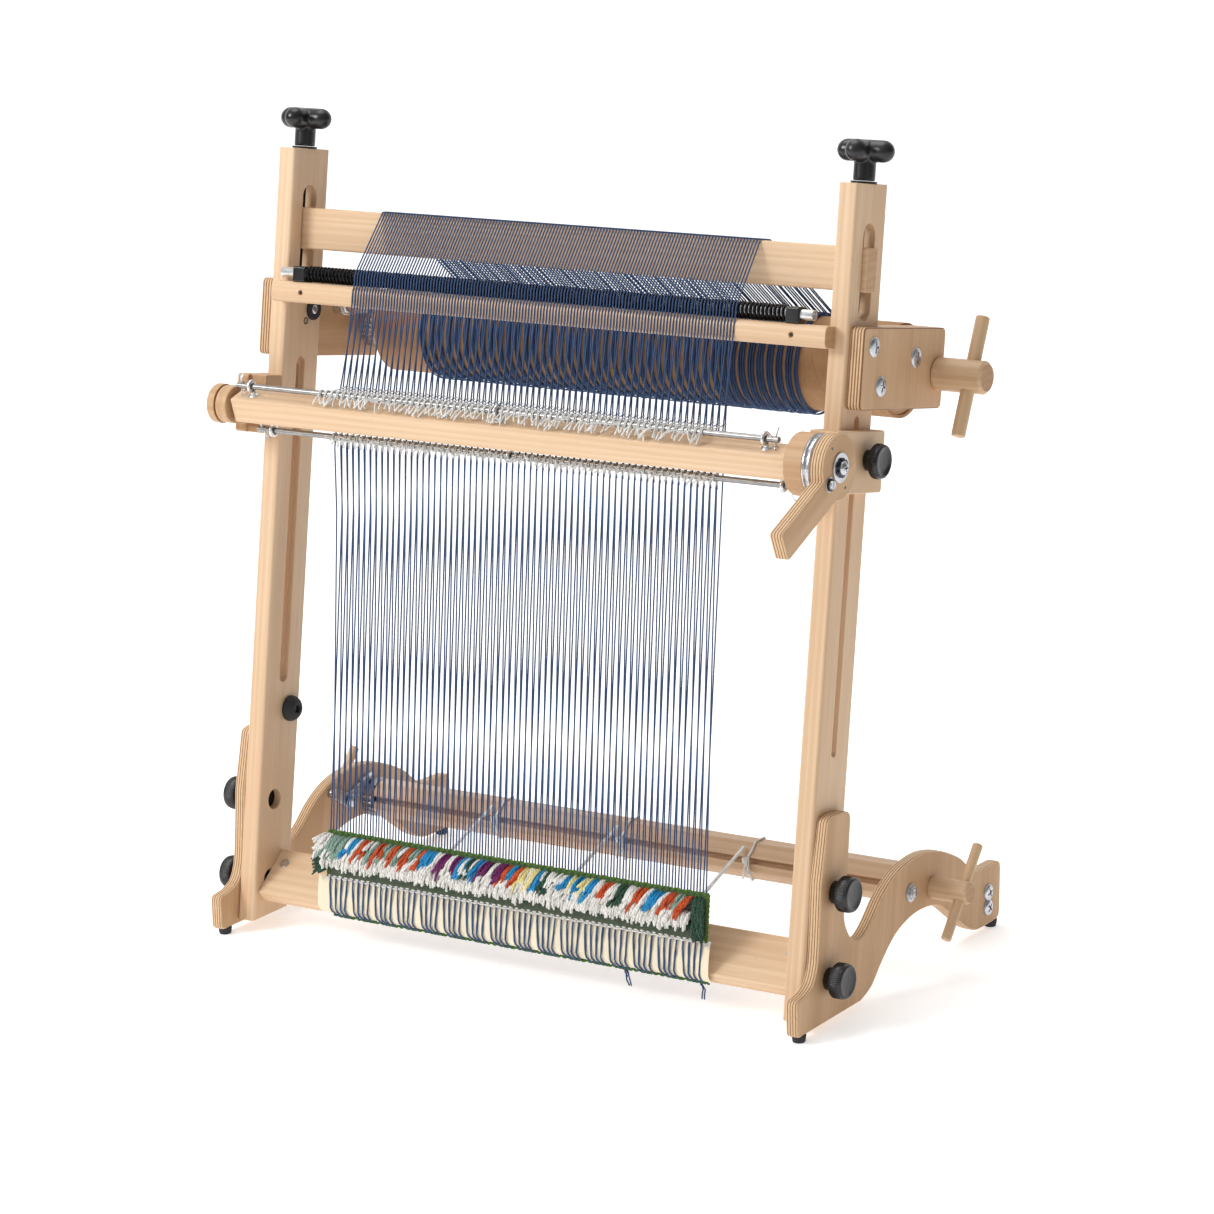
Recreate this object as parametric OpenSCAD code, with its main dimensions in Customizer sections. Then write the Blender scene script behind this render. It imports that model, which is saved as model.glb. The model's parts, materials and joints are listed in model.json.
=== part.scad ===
// Upright tabletop tapestry loom, dressed with a warp and the start of a rug.
// X runs across the loom, Y from the weaver to the back, Z up. The origin is on the
// floor under the middle of the whole loom.

/* [Frame] */
// Width over the outer faces of the two posts
frame_w = 637; // [560:1:760]
// Length of a post along its own axis
post_len = 755; // [750:1:760]
// Depth of a post, front to back
post_d = 57; // [54:0.5:60]
// Thickness of a post
post_th = 19; // [17:0.5:22]
// Backward lean of the posts, in degrees
lean = 9.4; // [9:0.1:10]
// Thickness of the plywood foot plates
plate_th = 12; // [11:0.5:13]
// Width of the bottom plank's section
plank_w = 54; // [50:1:56]
// Thickness of the bottom plank
plank_th = 14.8; // [12:0.2:15]

/* [Tension] */
// Height of the top beam's section
beam_h = 39.6; // [34:0.2:42]
// Thickness of the top beam
beam_th = 18; // [16:0.5:18.5]
// Diameter of the threaded tension rods
rod_d = 8; // [7:0.5:8]
// Diameter of a lobe of the tension knobs
lobe_d = 20; // [16:0.5:21]

/* [Warp roller] */
// Outer diameter of the cardboard tube
tube_d = 88; // [80:1:90]
// Outer diameter of the wound warp
winding_d = 97; // [92:1:98]
// Length of the crank dowels on the warp roller
warp_dowel_len = 114; // [90:1:116]

/* [Cloth beam] */
// Width of the cloth beam across its flats
cloth_flats = 37; // [33:0.5:38]
// Length of the crank dowels on the cloth beam
cloth_dowel_len = 100; // [80:1:102]

/* [Shedding device] */
// Depth of the swinging beam's section
shed_w = 24; // [20:0.5:25]
// Height of the swinging beam's section
shed_h = 25; // [22:0.5:26]
// Turn of the swinging beam with its lever down, in degrees
shed_turn = 16.7; // [10:0.1:20]
// Distance of the shedding device along the posts
shed_s = 506.5; // [440:0.5:510]

/* [Weaving] */
// Width of the warp
warp_w = 424; // [300:1:430]
// Height of the woven part above the floor
fell_z = 114; // [100:1:200]

/* [Hidden] */
$fn = 64;

// Working clearances
gap = 0.3;
run_fit = 0.05;

// Frame across X
post_x = frame_w / 2;
post_in = post_x - post_th;
plate_x = post_x + plate_th;
// Foot of the posts: where their front edge starts, on the world's Y and Z
post_y = 12.65;
post_z = 12.3;
post_bottom_z = 12;
post_edge_r = 3;

// Outer ends of the cranks, which set where the middle of the whole loom is
warp_crank_end = 385;
cloth_crank_end = 371;
plate_back_y = 383;
lever_front_y = -52;
origin_x = (warp_crank_end - cloth_crank_end) / 2;
origin_y = (plate_back_y + lever_front_y) / 2;

// A place given by t, the depth behind the posts' front, and s, the distance along them
function post_point(t, s) = [
  post_y + s * sin(lean) + t * cos(lean),
  post_z + s * cos(lean) - t * sin(lean)
];
function turned(p, a) = [p[0] * cos(a) - p[1] * sin(a), p[0] * sin(a) + p[1] * cos(a)];
// One stretch of a smooth curve between b and c, with a and d as its neighbours
function smooth_point(a, b, c, d, k) =
  (2 * b + (c - a) * k + (2 * a - 5 * b + 4 * c - d) * k * k
  + (3 * b - a - 3 * c + d) * k * k * k) / 2;
// A smooth curve through the points p, with n steps between neighbours
function smooth(p, n) = [
  for (i = [0:len(p) - 2], k = [0:n - 1])
    smooth_point(p[max(i - 1, 0)], p[i], p[i + 1], p[min(i + 2, len(p) - 1)], k / n),
  p[len(p) - 1]
];

// Slots, rods and fasteners, along the post
slot_t = post_d / 2;
slot_w = 21;
slot_s = [633, 720];
shed_slot_s = [240, 548];
shed_slot_w = 8.5;
shed_recess_w = 13;
shed_recess_d = 4.5;
rod_r = rod_d / 2;
rod_s = [636, 776];
beam_s = 658.7;
beam_t = slot_t - beam_th / 2;
beam_x = 323;
knob_s = 784;
knob_span = 28;
washer_s = post_len;
washer_h = 2;

// Front stick and spring
stick_x = 306;
stick_s = [607.5, 627.5];
stick_d = 17.2;
stick_r = 6;
stick_screw_x = 271;
spring_t = -6.7;
spring_s = 635.8;
spring_r = 8;
spring_wire = 1.6;
spring_x = [-269.5, 262];
spring_tube_x = [-300, 288];
spring_tube_r = 5;
clamp_l = 14;

// Warp brackets and roller
bracket_t = [4.8, 159];
bracket_s = [554.5, 628.5];
bracket_th = 15;
bracket_r = 5;
bracket_x = post_x + bracket_th;
spacer_t = 57;
roller_t = 147.8;
roller_s = 586.5;
axle_r = 8;
tube_x = [-268, 298];
core_hub_r = 20;
tube_wall = 3;
ratchet_x = -299.5;
ratchet_th = 11.5;
ratchet_r = 24;
warp_hub_r = 15.4;
warp_dowel_r = 6.5;
warp_dowel_x = 367.6;
warp_dowel_tilt = 63.8;
warp_pawl_pivot = [88, 604];
warp_pawl_tip = [123.6, 601.4];
bracket_screws_ts = [[23.8, 611.1], [103.7, 601.4], [41, 575.8]];
screw_r = 9.2;

// Bottom of the loom, in the world's Y and Z
foot_d = 13.5;
foot_h = 7;
foot_y = [0, 372];
plank_nose = [22.2, 39.3];
plank_tilt = 38;
foot_knob_t = 24.7;
foot_knob_s = [119, 39.7];
foot_knob_r = 16.5;
foot_hub_r = 10.5;
foot_knob_x = [plate_x + gap, 352.5];
foot_bolt_r = 4;
bolt_head_r = 9.5;
// Depth of the counterbore in front of each foot bolt's head
bolt_sink = 7.5;
// Thickness of each foot bolt's head
bolt_head_th = 3.3;
cloth_axis = [243, 77];
cloth_x = [-305, 317.5];
cloth_ratchet_x = [-318, -306];
cloth_ratchet_r = 20.5;
cloth_hub_r = 10.8;
cloth_dowel_r = 4.9;
cloth_dowel_x = 362;
cloth_dowel_tilt = 48.7;
cloth_pawl_pivot = [200, 84];
cloth_pawl_back = [237.1, 101.1];
cloth_pawl_front = [173, 98];
groove_w = 6;
groove_d = 7;
rear_screws = [[355.5, 39.8], [355, 24.5]];

// Shedding device
shed_t = -44.7;
shed_axis = post_point(shed_t, shed_s);
shed_beam_x = [-315, 303];
shed_disc_x = [303, 322];
shed_ring_x = [322, 332];
shed_ring_r = 28.5;
notch_r = 28.9;
lever_x = [332, 345];
lever_head_r = 30;
lever_arm_l = 110;
lever_arm_w = 28;
lever_arm_off = 9.5;
lever_angle = 212.75;
block_s = [shed_s - 26.5, shed_s + 29.5];
block_t = [-28.7, 58.8];
block_th = 12.9;
block_in = post_x + gap;
block_out = block_in + block_th;
flange_t = [-24, -gap];
nose_r = 18;
pivot_r = 5;
clamp_s = shed_s + 3.5;
clamp_t = slot_t;
clamp_bolt_r = 3.9;
shed_knob_r = 16;
shed_knob_x = [block_out + gap, 350];
rod_up = 21.8;
rod_down = 24;
heddle_rod_r = 2.75;
eye_wall = 3.4;
eye_th = 5;
eye_shank_r = 2.5;
heddle_rod_x = [[-312, 288], [-300, 297]];
eye_x = [[-295, -12, 273], [-281, -8, 284]];

// Weaving
plank_a = [cos(plank_tilt), sin(plank_tilt)];
plank_n = [sin(plank_tilt), -cos(plank_tilt)];
plank_low = plank_nose + plank_th * plank_n;
stick_front = post_point(-stick_d - 2.2, stick_s[0] + 10);
nose_front = plank_nose - 2.2 * plank_a;
function on_warp(z) =
  nose_front + (stick_front - nose_front) * (z - nose_front[1]) / (stick_front[1] - nose_front[1]);
warp_th = 1.6;
rug_x = [-232, 214];
rug_z = [69, fell_z];
rug_th = 11;
card_x = [-225, 217];
warp_rod_at = [92, 43];
warp_rod_r = 3;
cord_x = [-158, -10, 134];
cord_r = 1.2;

// ---------------------------------------------------------------- shared shapes

module in_frame() {
  translate([-origin_x, -origin_y, 0])
    children();
}

module on_post() {
  in_frame()
    translate([0, post_y, post_z])
      rotate([-lean, 0, 0])
        children();
}

module both_sides() {
  children();
  mirror([1, 0, 0])
    children();
}

// Extrudes an outline drawn in Y and Z from x0 to x1
module across(x0, x1) {
  translate([x0, 0, 0])
    rotate([90, 0, 90])
      linear_extrude(x1 - x0)
        children();
}

// A round bar along X
module x_rod(x0, x1, r, at = [0, 0]) {
  translate([x0, at[0], at[1]])
    rotate([0, 90, 0])
      cylinder(h = x1 - x0, r = r);
}

// A turned piece along X, from a half outline given as [radius, x]
module x_turned(outline, at = [0, 0]) {
  translate([0, at[0], at[1]])
    rotate([0, 90, 0])
      rotate_extrude()
        polygon(outline);
}

// A round bar between two places
module rod_between(a, b, r) {
  d = b - a;
  l = norm(d);
  translate(a)
    rotate([0, acos(d[2] / l), atan2(d[1], d[0])])
      cylinder(h = l, r = r);
}

module rounded_box(w, h, r) {
  translate([r, 0])
    square([w - 2 * r, h]);
  translate([0, r])
    square([w, h - 2 * r]);
  for (x = [r, w - r], y = [r, h - r])
    translate([x, y])
      circle(r, $fn = 32);
}

// A flat bar with round ends between two places of an outline
module link(a, b, r0, r1) {
  hull() {
    translate(a)
      circle(r0, $fn = 32);
    translate(b)
      circle(r1, $fn = 32);
  }
}

// A slot with round ends in Y and Z
module slot_outline(t, s0, s1, w) {
  translate([t - w / 2, s0 + w / 2])
    square([w, s1 - s0 - w]);
  for (s = [s0 + w / 2, s1 - w / 2])
    translate([t, s])
      circle(w / 2);
}

module ratchet_outline(r, teeth, depth) {
  polygon([
    for (i = [0:teeth - 1], k = [0, 0.82])
      (k == 0 ? r : r - depth) * [cos(360 * (i + k) / teeth), sin(360 * (i + k) / teeth)]
  ]);
}

// Pan or countersunk screw head standing on a face at x0, on the side of x1
module screw_head(x0, x1, r, at) {
  x_turned([[0, x0], [r, x0], [r, x0 + (x1 - x0) * 0.35], [r * 0.55, x1], [0, x1]], at);
}

// ---------------------------------------------------------------- frame

module post() {
  difference() {
    on_post_solid();
    for (s = foot_knob_s)
      x_rod(post_in - 1, post_x + 1, foot_bolt_r + 0.2, [foot_knob_t, s]);
    for (s = foot_knob_s)
      x_rod(post_in - 1, post_in + bolt_sink + bolt_head_th, bolt_head_r + 0.5, [foot_knob_t, s]);
    across(post_in - 1, post_x + 1)
      slot_outline(slot_t, slot_s[0], slot_s[1], slot_w);
    across(post_in - 1, post_x + 1)
      slot_outline(slot_t, shed_slot_s[0], shed_slot_s[1], shed_slot_w);
    across(post_in - 1, post_in + shed_recess_d)
      slot_outline(slot_t, shed_slot_s[0] - 5, shed_slot_s[1] + 6, shed_recess_w);
    translate([post_in + post_th / 2, slot_t, slot_s[0] + 10])
      cylinder(h = post_len, r = rod_r + run_fit);
  }
}

// The plain bar of a post, with rounded edges and its foot cut level with the floor
module on_post_solid() {
  difference() {
    translate([post_in, 0, -6])
      linear_extrude(post_len + 6)
        rounded_box(post_th, post_d, post_edge_r);
    rotate([lean, 0, 0])
      translate([post_in - 1, -40, post_bottom_z - post_z - 40])
        cube([post_th + 2, 160, 40]);
  }
}

module post_left() {
  color("wheat")
    on_post()
      mirror([1, 0, 0])
        post();
}

module post_right() {
  color("wheat")
    on_post()
      post();
}

function foot_plate_points() = concat(
  smooth([[-13, 14], [-12, 8.5], [-7, 7]], 3),
  [[100, 7]],
  smooth([[104, 6.8], [125, 15], [145, 33], [171, 51], [200, 59.5], [227, 60.5], [255, 55],
    [283, 37], [308, 19], [330, 8.5], [348, 7]], 4),
  smooth([[374, 7], [379, 10], [381, 16]], 3),
  smooth([[383, 58], [381.5, 63.5], [375, 65.5]], 3),
  smooth([[350, 66], [335, 67.5], [320, 74.5], [303, 88], [281, 99.5], [255, 109.5], [226, 115],
    [197, 114], [172, 108.5], [146, 95], [122, 75], [104, 67], [88, 73], [77, 90], [76, 106],
    [82, 134], [86, 162]], 4),
  smooth([[89, 184], [88, 191.5], [81, 195]], 3),
  smooth([[58, 197], [49, 195], [46, 188]], 3),
  smooth([post_point(0, 128), [27, 78], [23, 60], [16, 49], [3, 43]], 3),
  smooth([[-5, 42], [-11, 41], [-13, 36]], 3)
);

module foot_plate() {
  difference() {
    across(post_x, plate_x)
      polygon(foot_plate_points());
    for (s = foot_knob_s)
      x_rod(post_x - 1, plate_x + 1, foot_bolt_r + 0.2, post_point(foot_knob_t, s));
    x_rod(post_x - 1, plate_x + 1, axle_r + run_fit, cloth_axis);
    x_rod(post_x - 1, plate_x + 1, 3, cloth_pawl_pivot);
  }
}

module foot_plate_left() {
  color("burlywood")
    in_frame()
      mirror([1, 0, 0])
        foot_plate();
}

module foot_plate_right() {
  color("burlywood")
    in_frame()
      foot_plate();
}

module rubber_feet() {
  color("black")
    in_frame()
      both_sides()
        for (y = foot_y)
          translate([(post_x + plate_x) / 2, y, 0])
            cylinder(h = foot_h, r1 = foot_d / 2 - 1, r2 = foot_d / 2);
}

module foot_bolts() {
  color("dimgray")
    on_post()
      both_sides()
        for (s = foot_knob_s)
          x_turned([[0, post_in + bolt_sink], [bolt_head_r, post_in + bolt_sink],
            [bolt_head_r, post_in + bolt_sink + bolt_head_th],
            [foot_bolt_r, post_in + bolt_sink + bolt_head_th],
            [foot_bolt_r, foot_knob_x[1] - 5],
            [0, foot_knob_x[1] - 5]], [foot_knob_t, s]);
}

module bottom_plank() {
  color("wheat")
    in_frame()
      across(-post_in, post_in)
        translate(plank_low)
          rotate(plank_tilt)
            rounded_box(plank_w, plank_th, 2);
}

module front_stick() {
  color("wheat")
    on_post()
      difference() {
        across(-stick_x, stick_x)
          stick_outline();
        for (x = [-stick_screw_x, stick_screw_x])
          translate([x, -stick_d - 1, (stick_s[0] + stick_s[1]) / 2])
            rotate([-90, 0, 0])
              cylinder(h = 3, r = 2.5);
      }
}

// Section of the front stick: flat behind, with round front edges
module stick_outline() {
  translate([-stick_d, stick_s[0]])
    rounded_box(stick_d, stick_s[1] - stick_s[0], stick_r);
  translate([-stick_r, stick_s[0]])
    square([stick_r, stick_s[1] - stick_s[0]]);
}

module frame_screws() {
  color("silver") {
    on_post()
      both_sides() {
        for (p = bracket_screws_ts)
          screw_head(bracket_x, bracket_x + 2.5, screw_r, p);
        translate([stick_screw_x, -stick_d + 0.6, (stick_s[0] + stick_s[1]) / 2])
          rotate([-90, 0, 0])
            cylinder(h = 1.4, r = 2.4);
      }
    in_frame()
      both_sides() {
        for (p = rear_screws)
          screw_head(plate_x, plate_x + 3.5, 8, p);
        translate([post_in - 12, plank_nose[0], plank_nose[1]])
          rotate([plank_tilt, 0, 0])
            translate([0, 38, 0])
              cylinder(h = 1.2, r = 5);
      }
  }
}

module spring_tube() {
  color("silver")
    on_post()
      x_rod(spring_tube_x[0], spring_tube_x[1], spring_tube_r, [spring_t, spring_s]);
}

module warp_spring() {
  color("black")
    on_post()
      difference() {
        x_rod(spring_x[0], spring_x[1], spring_r, [spring_t, spring_s]);
        x_rod(spring_x[0] - 1, spring_x[1] + 1, spring_r - spring_wire, [spring_t, spring_s]);
      }
}

module spring_clamps() {
  color("black")
    on_post()
      for (x = [spring_x[0] - clamp_l, spring_x[1]])
        difference() {
          across(x, x + clamp_l)
            translate([spring_t - 7.5, stick_s[1]])
              rounded_box(15, 15, 2);
          x_rod(x - 1, x + clamp_l + 1, spring_tube_r, [spring_t, spring_s]);
        }
}

module warp_bracket() {
  difference() {
    across(post_x, bracket_x)
      translate([bracket_t[0], bracket_s[0]])
        rounded_box(bracket_t[1] - bracket_t[0], bracket_s[1] - bracket_s[0], bracket_r);
    x_rod(post_x - 1, bracket_x + 1, axle_r + run_fit, [roller_t, roller_s]);
  }
}

module warp_bracket_left() {
  color("burlywood")
    on_post()
      mirror([1, 0, 0])
        warp_bracket();
}

module warp_bracket_right() {
  color("burlywood")
    on_post()
      warp_bracket();
}

module bracket_spacers() {
  color("tan")
    on_post()
      both_sides()
        difference() {
          across(post_in + 2.5, post_x)
            translate([spacer_t, bracket_s[0]])
              rounded_box(bracket_t[1] - spacer_t, bracket_s[1] - bracket_s[0], bracket_r);
          x_rod(post_in, post_x + 1, axle_r + run_fit, [roller_t, roller_s]);
        }
}

module post_bumpers() {
  color("black")
    on_post()
      both_sides() {
        x_turned([[0, post_in], [12.7, post_in], [12.2, post_in - 5], [9, post_in - 9],
          [4.5, post_in - 10.5], [0, post_in - 10.5]], [41, 208]);
        x_turned([[0, post_in], [10.5, post_in], [10.5, post_in - 3], [5, post_in - 3],
          [5, post_in - 5], [0, post_in - 5]], [43.3, 600]);
      }
}

module pawl_bolts() {
  color("silver") {
    in_frame()
      both_sides()
        x_turned([[0, post_x - 9], [2.9, post_x - 9], [2.9, plate_x], [9, plate_x],
          [9, plate_x + 1.5], [6, plate_x + 1.5], [4.5, plate_x + 4.5], [0, plate_x + 4.5]],
          cloth_pawl_pivot);
    on_post()
      x_turned([[0, -post_in - 2.5], [3, -post_in - 2.5], [3, -post_in + 8.5],
        [7, -post_in + 8.5], [6, -post_in + 12], [0, -post_in + 12]], warp_pawl_pivot);
  }
}

module tension_washers() {
  color("black")
    on_post()
      both_sides()
        translate([post_in + post_th / 2, slot_t, washer_s])
          difference() {
            cylinder(h = washer_h, r = 12);
            translate([0, 0, -1])
              cylinder(h = washer_h + 2, r = rod_r + run_fit);
          }
}

// ---------------------------------------------------------------- tension

module top_beam() {
  color("wheat")
    on_post()
      difference() {
        across(-beam_x, beam_x)
          translate([beam_t, beam_s])
            rounded_box(beam_th, beam_h, 2);
        both_sides()
          translate([post_in + post_th / 2, slot_t, beam_s - 1])
            cylinder(h = beam_h + 2, r = rod_r + run_fit);
      }
}

module tension_knob() {
  translate([post_in + post_th / 2, slot_t, 0])
    difference() {
      union() {
        translate([0, 0, washer_s + washer_h + gap])
          cylinder(h = knob_s - washer_s - washer_h - gap, r = lobe_d / 2);
        translate([0, 0, knob_s])
          for (a = [0, 90])
            rotate([0, 0, a])
              knob_bar();
      }
      translate([0, 0, washer_s])
        cylinder(h = rod_s[1] - washer_s, r = rod_r);
    }
}

// One pair of lobes, a bar with round ends
module knob_bar() {
  x_rod(-knob_span + lobe_d / 2, knob_span - lobe_d / 2, lobe_d / 2);
  for (x = [-1, 1])
    translate([x * (knob_span - lobe_d / 2), 0, 0])
      sphere(r = lobe_d / 2);
}

module tension_knob_left() {
  color("black")
    on_post()
      mirror([1, 0, 0])
        tension_knob();
}

module tension_knob_right() {
  color("black")
    on_post()
      tension_knob();
}

module tension_rod() {
  translate([post_in + post_th / 2, slot_t, rod_s[0]])
    cylinder(h = rod_s[1] - rod_s[0], r = rod_r);
}

module tension_rod_left() {
  color("dimgray")
    on_post()
      mirror([1, 0, 0])
        tension_rod();
}

module tension_rod_right() {
  color("dimgray")
    on_post()
      tension_rod();
}

// ---------------------------------------------------------------- warp roller

module at_roller() {
  on_post()
    translate([0, roller_t, roller_s])
      children();
}

module roller_core() {
  color("wheat")
    at_roller()
      x_turned([[0, -bracket_x + 2], [axle_r, -bracket_x + 2],
        [axle_r, ratchet_x + ratchet_th], [core_hub_r, ratchet_x + ratchet_th],
        [core_hub_r, tube_x[0] + 2],
        [tube_d / 2 - tube_wall, tube_x[0] + 2], [tube_d / 2 - tube_wall, tube_x[0] + 18],
        [axle_r, tube_x[0] + 18], [axle_r, tube_x[1] - 18],
        [tube_d / 2 - tube_wall, tube_x[1] - 18], [tube_d / 2 - tube_wall, tube_x[1] - 2],
        [axle_r, tube_x[1] - 2], [axle_r, bracket_x + gap], [0, bracket_x + gap]]);
}

module cardboard_tube() {
  color("peru")
    at_roller()
      x_turned([[tube_d / 2 - tube_wall, tube_x[0]], [tube_d / 2, tube_x[0]],
        [tube_d / 2, tube_x[1]], [tube_d / 2 - tube_wall, tube_x[1]]]);
}

module warp_winding() {
  color("midnightblue")
    at_roller()
      x_turned([[tube_d / 2, -warp_w / 2 - 4], [winding_d / 2, -warp_w / 2],
        [winding_d / 2, warp_w / 2], [tube_d / 2, warp_w / 2 + 4]]);
}

module warp_ratchet() {
  color("gainsboro")
    at_roller()
      difference() {
        across(ratchet_x, ratchet_x + ratchet_th)
          ratchet_outline(ratchet_r, 28, 3.2);
        x_rod(ratchet_x - 1, ratchet_x + ratchet_th + 1, axle_r);
      }
}

module warp_crank_hub() {
  color("wheat")
    at_roller()
      difference() {
        x_turned([[0, bracket_x + gap], [warp_hub_r - 1, bracket_x + gap],
          [warp_hub_r, bracket_x + 2], [warp_hub_r, warp_crank_end - 3],
          [warp_hub_r - 3, warp_crank_end], [0, warp_crank_end]]);
        translate([warp_dowel_x, 0, 0])
          rotate([warp_dowel_tilt - 90 + lean, 0, 0])
            translate([0, 0, -20])
              cylinder(h = 40, r = warp_dowel_r);
      }
}

module warp_crank_dowel() {
  color("wheat")
    at_roller()
      translate([warp_dowel_x, 0, 0])
        rotate([warp_dowel_tilt - 90 + lean, 0, 0])
          dowel(warp_dowel_len, warp_dowel_r);
}

// A round stick with eased ends, centred on its middle
module dowel(l, r) {
  rotate_extrude()
    polygon([[0, -l / 2], [r - 1, -l / 2], [r, -l / 2 + 1], [r, l / 2 - 1], [r - 1, l / 2],
      [0, l / 2]]);
}

module warp_pawl() {
  color("silver")
    on_post()
      difference() {
        across(-post_in - 2.2, -post_in + 8.2)
          link(warp_pawl_pivot, warp_pawl_tip, 9, 4);
        x_rod(-post_in - 3, -post_in + 9, 3 + run_fit, warp_pawl_pivot);
      }
}

// ---------------------------------------------------------------- cloth beam

module at_cloth_beam() {
  in_frame()
    translate([0, cloth_axis[0], cloth_axis[1]])
      children();
}

module cloth_beam() {
  color("wheat")
    at_cloth_beam() {
      difference() {
        translate([cloth_x[0], 0, 0])
          rotate([0, 90, 0])
            rotate([0, 0, 22.5])
              cylinder(h = cloth_x[1] - cloth_x[0], d = cloth_flats / cos(22.5), $fn = 8);
        translate([cloth_x[0] - 1, -cloth_flats / 2 - 1, -groove_w / 2 + 3])
          cube([cloth_x[1] - cloth_x[0] + 2, groove_d + 1, groove_w]);
      }
      x_rod(-plate_x - gap, cloth_x[0], axle_r);
      x_rod(cloth_x[1], plate_x + gap, axle_r);
    }
}

module cloth_ratchet() {
  color("silver")
    at_cloth_beam()
      difference() {
        across(cloth_ratchet_x[0], cloth_ratchet_x[1])
          ratchet_outline(cloth_ratchet_r, 20, 2.6);
        x_rod(cloth_ratchet_x[0] - 1, cloth_ratchet_x[1] + 1, axle_r);
      }
}

module cloth_crank_hubs() {
  color("wheat")
    at_cloth_beam()
      both_sides()
        difference() {
          x_turned([[0, plate_x + gap], [cloth_hub_r, plate_x + gap],
            [cloth_hub_r, cloth_crank_end - 2], [cloth_hub_r - 2, cloth_crank_end],
            [0, cloth_crank_end]]);
          translate([cloth_dowel_x, 0, 0])
            rotate([cloth_dowel_tilt - 90, 0, 0])
              translate([0, 0, -20])
                cylinder(h = 40, r = cloth_dowel_r);
        }
}

module cloth_crank_dowels() {
  color("wheat")
    at_cloth_beam()
      both_sides()
        translate([cloth_dowel_x, 0, 0])
          rotate([cloth_dowel_tilt - 90, 0, 0])
            dowel(cloth_dowel_len, cloth_dowel_r);
}

module cloth_pawl() {
  color("silver")
    in_frame()
      difference() {
        across(-post_x + gap, -post_x + 4.3)
          union() {
            link(cloth_pawl_pivot, cloth_pawl_back, 7, 3);
            link(cloth_pawl_pivot, cloth_pawl_front, 7, 5);
          }
        x_rod(-post_x - 1, -post_x + 6, 2.9 + run_fit, cloth_pawl_pivot);
      }
}

// ---------------------------------------------------------------- knobs on the feet

module foot_knob(s) {
  difference() {
    round_knob(foot_knob_x[0], foot_knob_x[1], foot_knob_r, foot_hub_r, [foot_knob_t, s]);
    x_rod(foot_knob_x[0] - 1, foot_knob_x[1] - 4.5, foot_bolt_r + run_fit, [foot_knob_t, s]);
  }
}

// A round hand knob with a narrower neck and a dished face
module round_knob(x0, x1, r, neck_r, at) {
  x_turned([[0, x0], [neck_r, x0], [neck_r, x0 + 7], [r - 1, x0 + 8.5], [r, x0 + 10],
    [r, x1 - 1.5], [r - 1.5, x1], [r - 5, x1], [r - 7, x1 - 1.5], [0, x1 - 1.5]], at);
}

module foot_knob_left_upper() {
  color("black")
    on_post()
      mirror([1, 0, 0])
        foot_knob(foot_knob_s[0]);
}

module foot_knob_left_lower() {
  color("black")
    on_post()
      mirror([1, 0, 0])
        foot_knob(foot_knob_s[1]);
}

module foot_knob_right_upper() {
  color("black")
    on_post()
      foot_knob(foot_knob_s[0]);
}

module foot_knob_right_lower() {
  color("black")
    on_post()
      foot_knob(foot_knob_s[1]);
}

// ---------------------------------------------------------------- shedding device

module at_shed() {
  in_frame()
    translate([0, shed_axis[0], shed_axis[1]])
      children();
}

module shed_block_bar() {
  across(block_in, block_out)
    translate([block_t[0], block_s[0]])
      rounded_box(block_t[1] - block_t[0], block_s[1] - block_s[0], 3);
}

module shed_clamp_bore() {
  x_rod(block_in - 1, block_out + 1, clamp_bolt_r + 0.3, [clamp_t, clamp_s]);
}

module shed_block_left() {
  color("tan")
    on_post()
      mirror([1, 0, 0])
        difference() {
          union() {
            shed_block_bar();
            across(block_in, block_out)
              union() {
                translate([shed_t, shed_s])
                  circle(nose_r);
                translate([shed_t, shed_s - nose_r])
                  square([30, 2 * nose_r]);
              }
            across(post_in + 1, block_out)
              translate([flange_t[0], block_s[0]])
                square([flange_t[1] - flange_t[0], block_s[1] - block_s[0]]);
          }
          x_rod(block_in - 1, block_out + 1, pivot_r + run_fit, [shed_t, shed_s]);
          x_rod(post_in, block_in, notch_r, [shed_t, shed_s]);
          shed_clamp_bore();
        }
}

module shed_block_right() {
  color("tan")
    on_post()
      difference() {
        union() {
          shed_block_bar();
          across(post_in + 1, block_out)
            translate([flange_t[0], block_s[0]])
              square([flange_t[1] - flange_t[0], block_s[1] - block_s[0]]);
        }
        x_rod(post_in, block_out + 1, notch_r, [shed_t, shed_s]);
        shed_clamp_bore();
      }
}

module shed_clamp_bolts() {
  color("silver")
    on_post()
      both_sides() {
        x_rod(post_in + shed_recess_d - gap, shed_knob_x[1] - 5, clamp_bolt_r, [clamp_t, clamp_s]);
        across(post_in + 0.8, post_in + shed_recess_d - gap)
          translate([clamp_t - 6, clamp_s - 6])
            square(12);
      }
}

module shed_knob() {
  difference() {
    round_knob(shed_knob_x[0], shed_knob_x[1], shed_knob_r, shed_knob_r - 6.5, [clamp_t, clamp_s]);
    x_rod(shed_knob_x[0] - 1, shed_knob_x[1] - 4.5, clamp_bolt_r + run_fit, [clamp_t, clamp_s]);
  }
}

module shed_knob_left() {
  color("black")
    on_post()
      mirror([1, 0, 0])
        shed_knob();
}

module shed_knob_right() {
  color("black")
    on_post()
      shed_knob();
}

module shed_beam() {
  color("wheat")
    at_shed() {
      across(shed_beam_x[0], shed_beam_x[1])
        rotate(shed_turn)
          translate([-shed_w / 2, -shed_h / 2])
            rounded_box(shed_w, shed_h, 2);
      x_rod(-block_out - 1, shed_beam_x[0], pivot_r);
    }
}

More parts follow.
